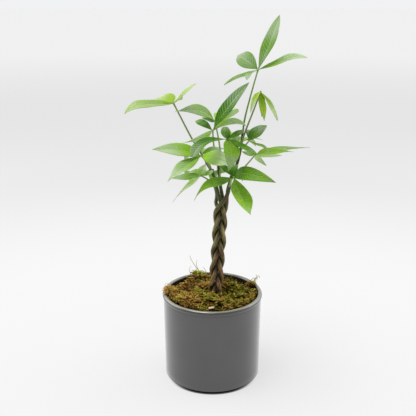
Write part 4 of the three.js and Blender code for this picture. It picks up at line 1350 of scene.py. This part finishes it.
class MONEYTREE_OT_leaves(bpy.types.Operator):
    """Grows each leaf: its veined leaflets, their hub and the stalk that joins them to a stem"""

    bl_idname = "moneytree.leaves"
    bl_label = "Leaves"

    def execute(self, context):
        look = context.scene.money_tree_leaf
        colours = ((look.deep, look.light), (look.lit_deep, look.lit_light), look.vein, look.lit_vein)
        green = self.paints("leaf", colours, look.under, STALK_COLOURS)
        shaded, lit = (look.young_deep, look.young_light), (look.young_lit_deep, look.young_lit_light)
        colours = (shaded, lit, look.young_vein, look.lit_vein)
        young = self.paints("young_leaf", colours, look.young_under, YOUNG_STALK_COLOURS)
        for leaf in LEAVES:
            slot = "young_leaf" if leaf.young else "leaf"
            *blade_paints, stalk = young if leaf.young else green
            self.add_blades(leaf, blade_paints, slot, look)
            self.add_stalk(leaf, stalk, slot, look)
        return {"FINISHED"}

    def paints(self, kind, colours, under, stalk_colours):
        """The paints of a kind of leaf: its upper side, its underside and its stalk."""
        return (
            leaf_paint(kind + "_upper", *colours),
            leaf_paint(kind + "_under", *colours, under),
            stalk_paint(kind + "_stalk", *stalk_colours),
        )

    def add_blades(self, leaf, paints, slot, look):
        hub = Vector(leaf.stalk[-1])
        bm = new_bmesh()
        tone, glow = float_layers(bm, "tone", "glow")
        for seed, row in enumerate(leaf.leaflets):
            shape = Leaflet(*row)
            blade = Blade(hub, shape, seed)
            grid = bmesh.ops.create_grid(
                bm, x_segments=BLADE_ACROSS, y_segments=BLADE_ALONG, size=0.5, calc_uvs=True
            )
            for vert in grid["verts"]:
                vert.co = blade.point(2 * vert.co.x, vert.co.y + 0.5) * MM
                vert[tone] = shape.tone
                vert[glow] = shape.glow
        piece = finished(leaf.name + "_blades", bm, paints, slot, leaf.name)
        shell = piece.modifiers.new("thickness", "SOLIDIFY")
        shell.thickness = look.thickness
        shell.offset = -1
        shell.material_offset = 1

    def add_stalk(self, leaf, paint, slot, look):
        radius = look.stalk_radius / MM
        bm = new_bmesh()
        route = smooth_route(leaf.stalk, STALK_STEPS)

        def radius_at(along, angle):
            swell = 0.35 * smoothstep(along, 0.93, 1) + 0.3 * (1 - smoothstep(along, 0, 0.06))
            return radius * (1.15 - 0.3 * along + swell)

        add_tube(bm, route, STALK_SIDES, radius_at)
        place = Matrix.Translation(Vector(leaf.stalk[-1]) * MM)
        hub = bmesh.ops.create_icosphere(bm, subdivisions=3, radius=HUB_RADIUS * MM, matrix=place)
        uv = bm.loops.layers.uv["UVMap"]
        for vert in hub["verts"]:
            for loop in vert.link_loops:
                loop[uv].uv = (0.5, 1)
        finished(leaf.name + "_stalk", bm, [paint], slot)


class MONEYTREE_PT_panel(bpy.types.Panel):
    """The sizes, the colours and the pieces of the potted money tree"""

    bl_idname = "MONEYTREE_PT_panel"
    bl_label = "Potted Money Tree"
    bl_space_type = "VIEW_3D"
    bl_region_type = "UI"
    bl_category = "Money Tree"

    def draw(self, context):
        for name, (settings, operators) in SECTIONS.items():
            box = self.layout.box()
            for setting in settings.__annotations__:
                box.prop(getattr(context.scene, name), setting)
            for operator in operators:
                box.operator(operator.bl_idname)


SECTIONS = {
    "money_tree_stage": (StageSettings, (MONEYTREE_OT_stage,)),
    "money_tree_pot": (PotSettings, (MONEYTREE_OT_pot,)),
    "money_tree_moss": (MossSettings, (MONEYTREE_OT_soil, MONEYTREE_OT_moss)),
    "money_tree_trunk": (TrunkSettings, (MONEYTREE_OT_trunk,)),
    "money_tree_leaf": (LeafSettings, (MONEYTREE_OT_leaves,)),
}


def register():
    for name, (settings, operators) in SECTIONS.items():
        bpy.utils.register_class(settings)
        setattr(bpy.types.Scene, name, PointerProperty(type=settings))
        for operator in operators:
            bpy.utils.register_class(operator)
    bpy.utils.register_class(MONEYTREE_PT_panel)


def unregister():
    bpy.utils.unregister_class(MONEYTREE_PT_panel)
    for name, (settings, operators) in reversed(SECTIONS.items()):
        for operator in operators:
            bpy.utils.unregister_class(operator)
        delattr(bpy.types.Scene, name)
        bpy.utils.unregister_class(settings)


def main():
    register()
    bpy.ops.moneytree.stage()
    bpy.ops.moneytree.pot()
    bpy.ops.moneytree.soil()
    bpy.ops.moneytree.moss()
    bpy.ops.moneytree.trunk()
    bpy.ops.moneytree.leaves()


if __name__ == "__main__":
    main()
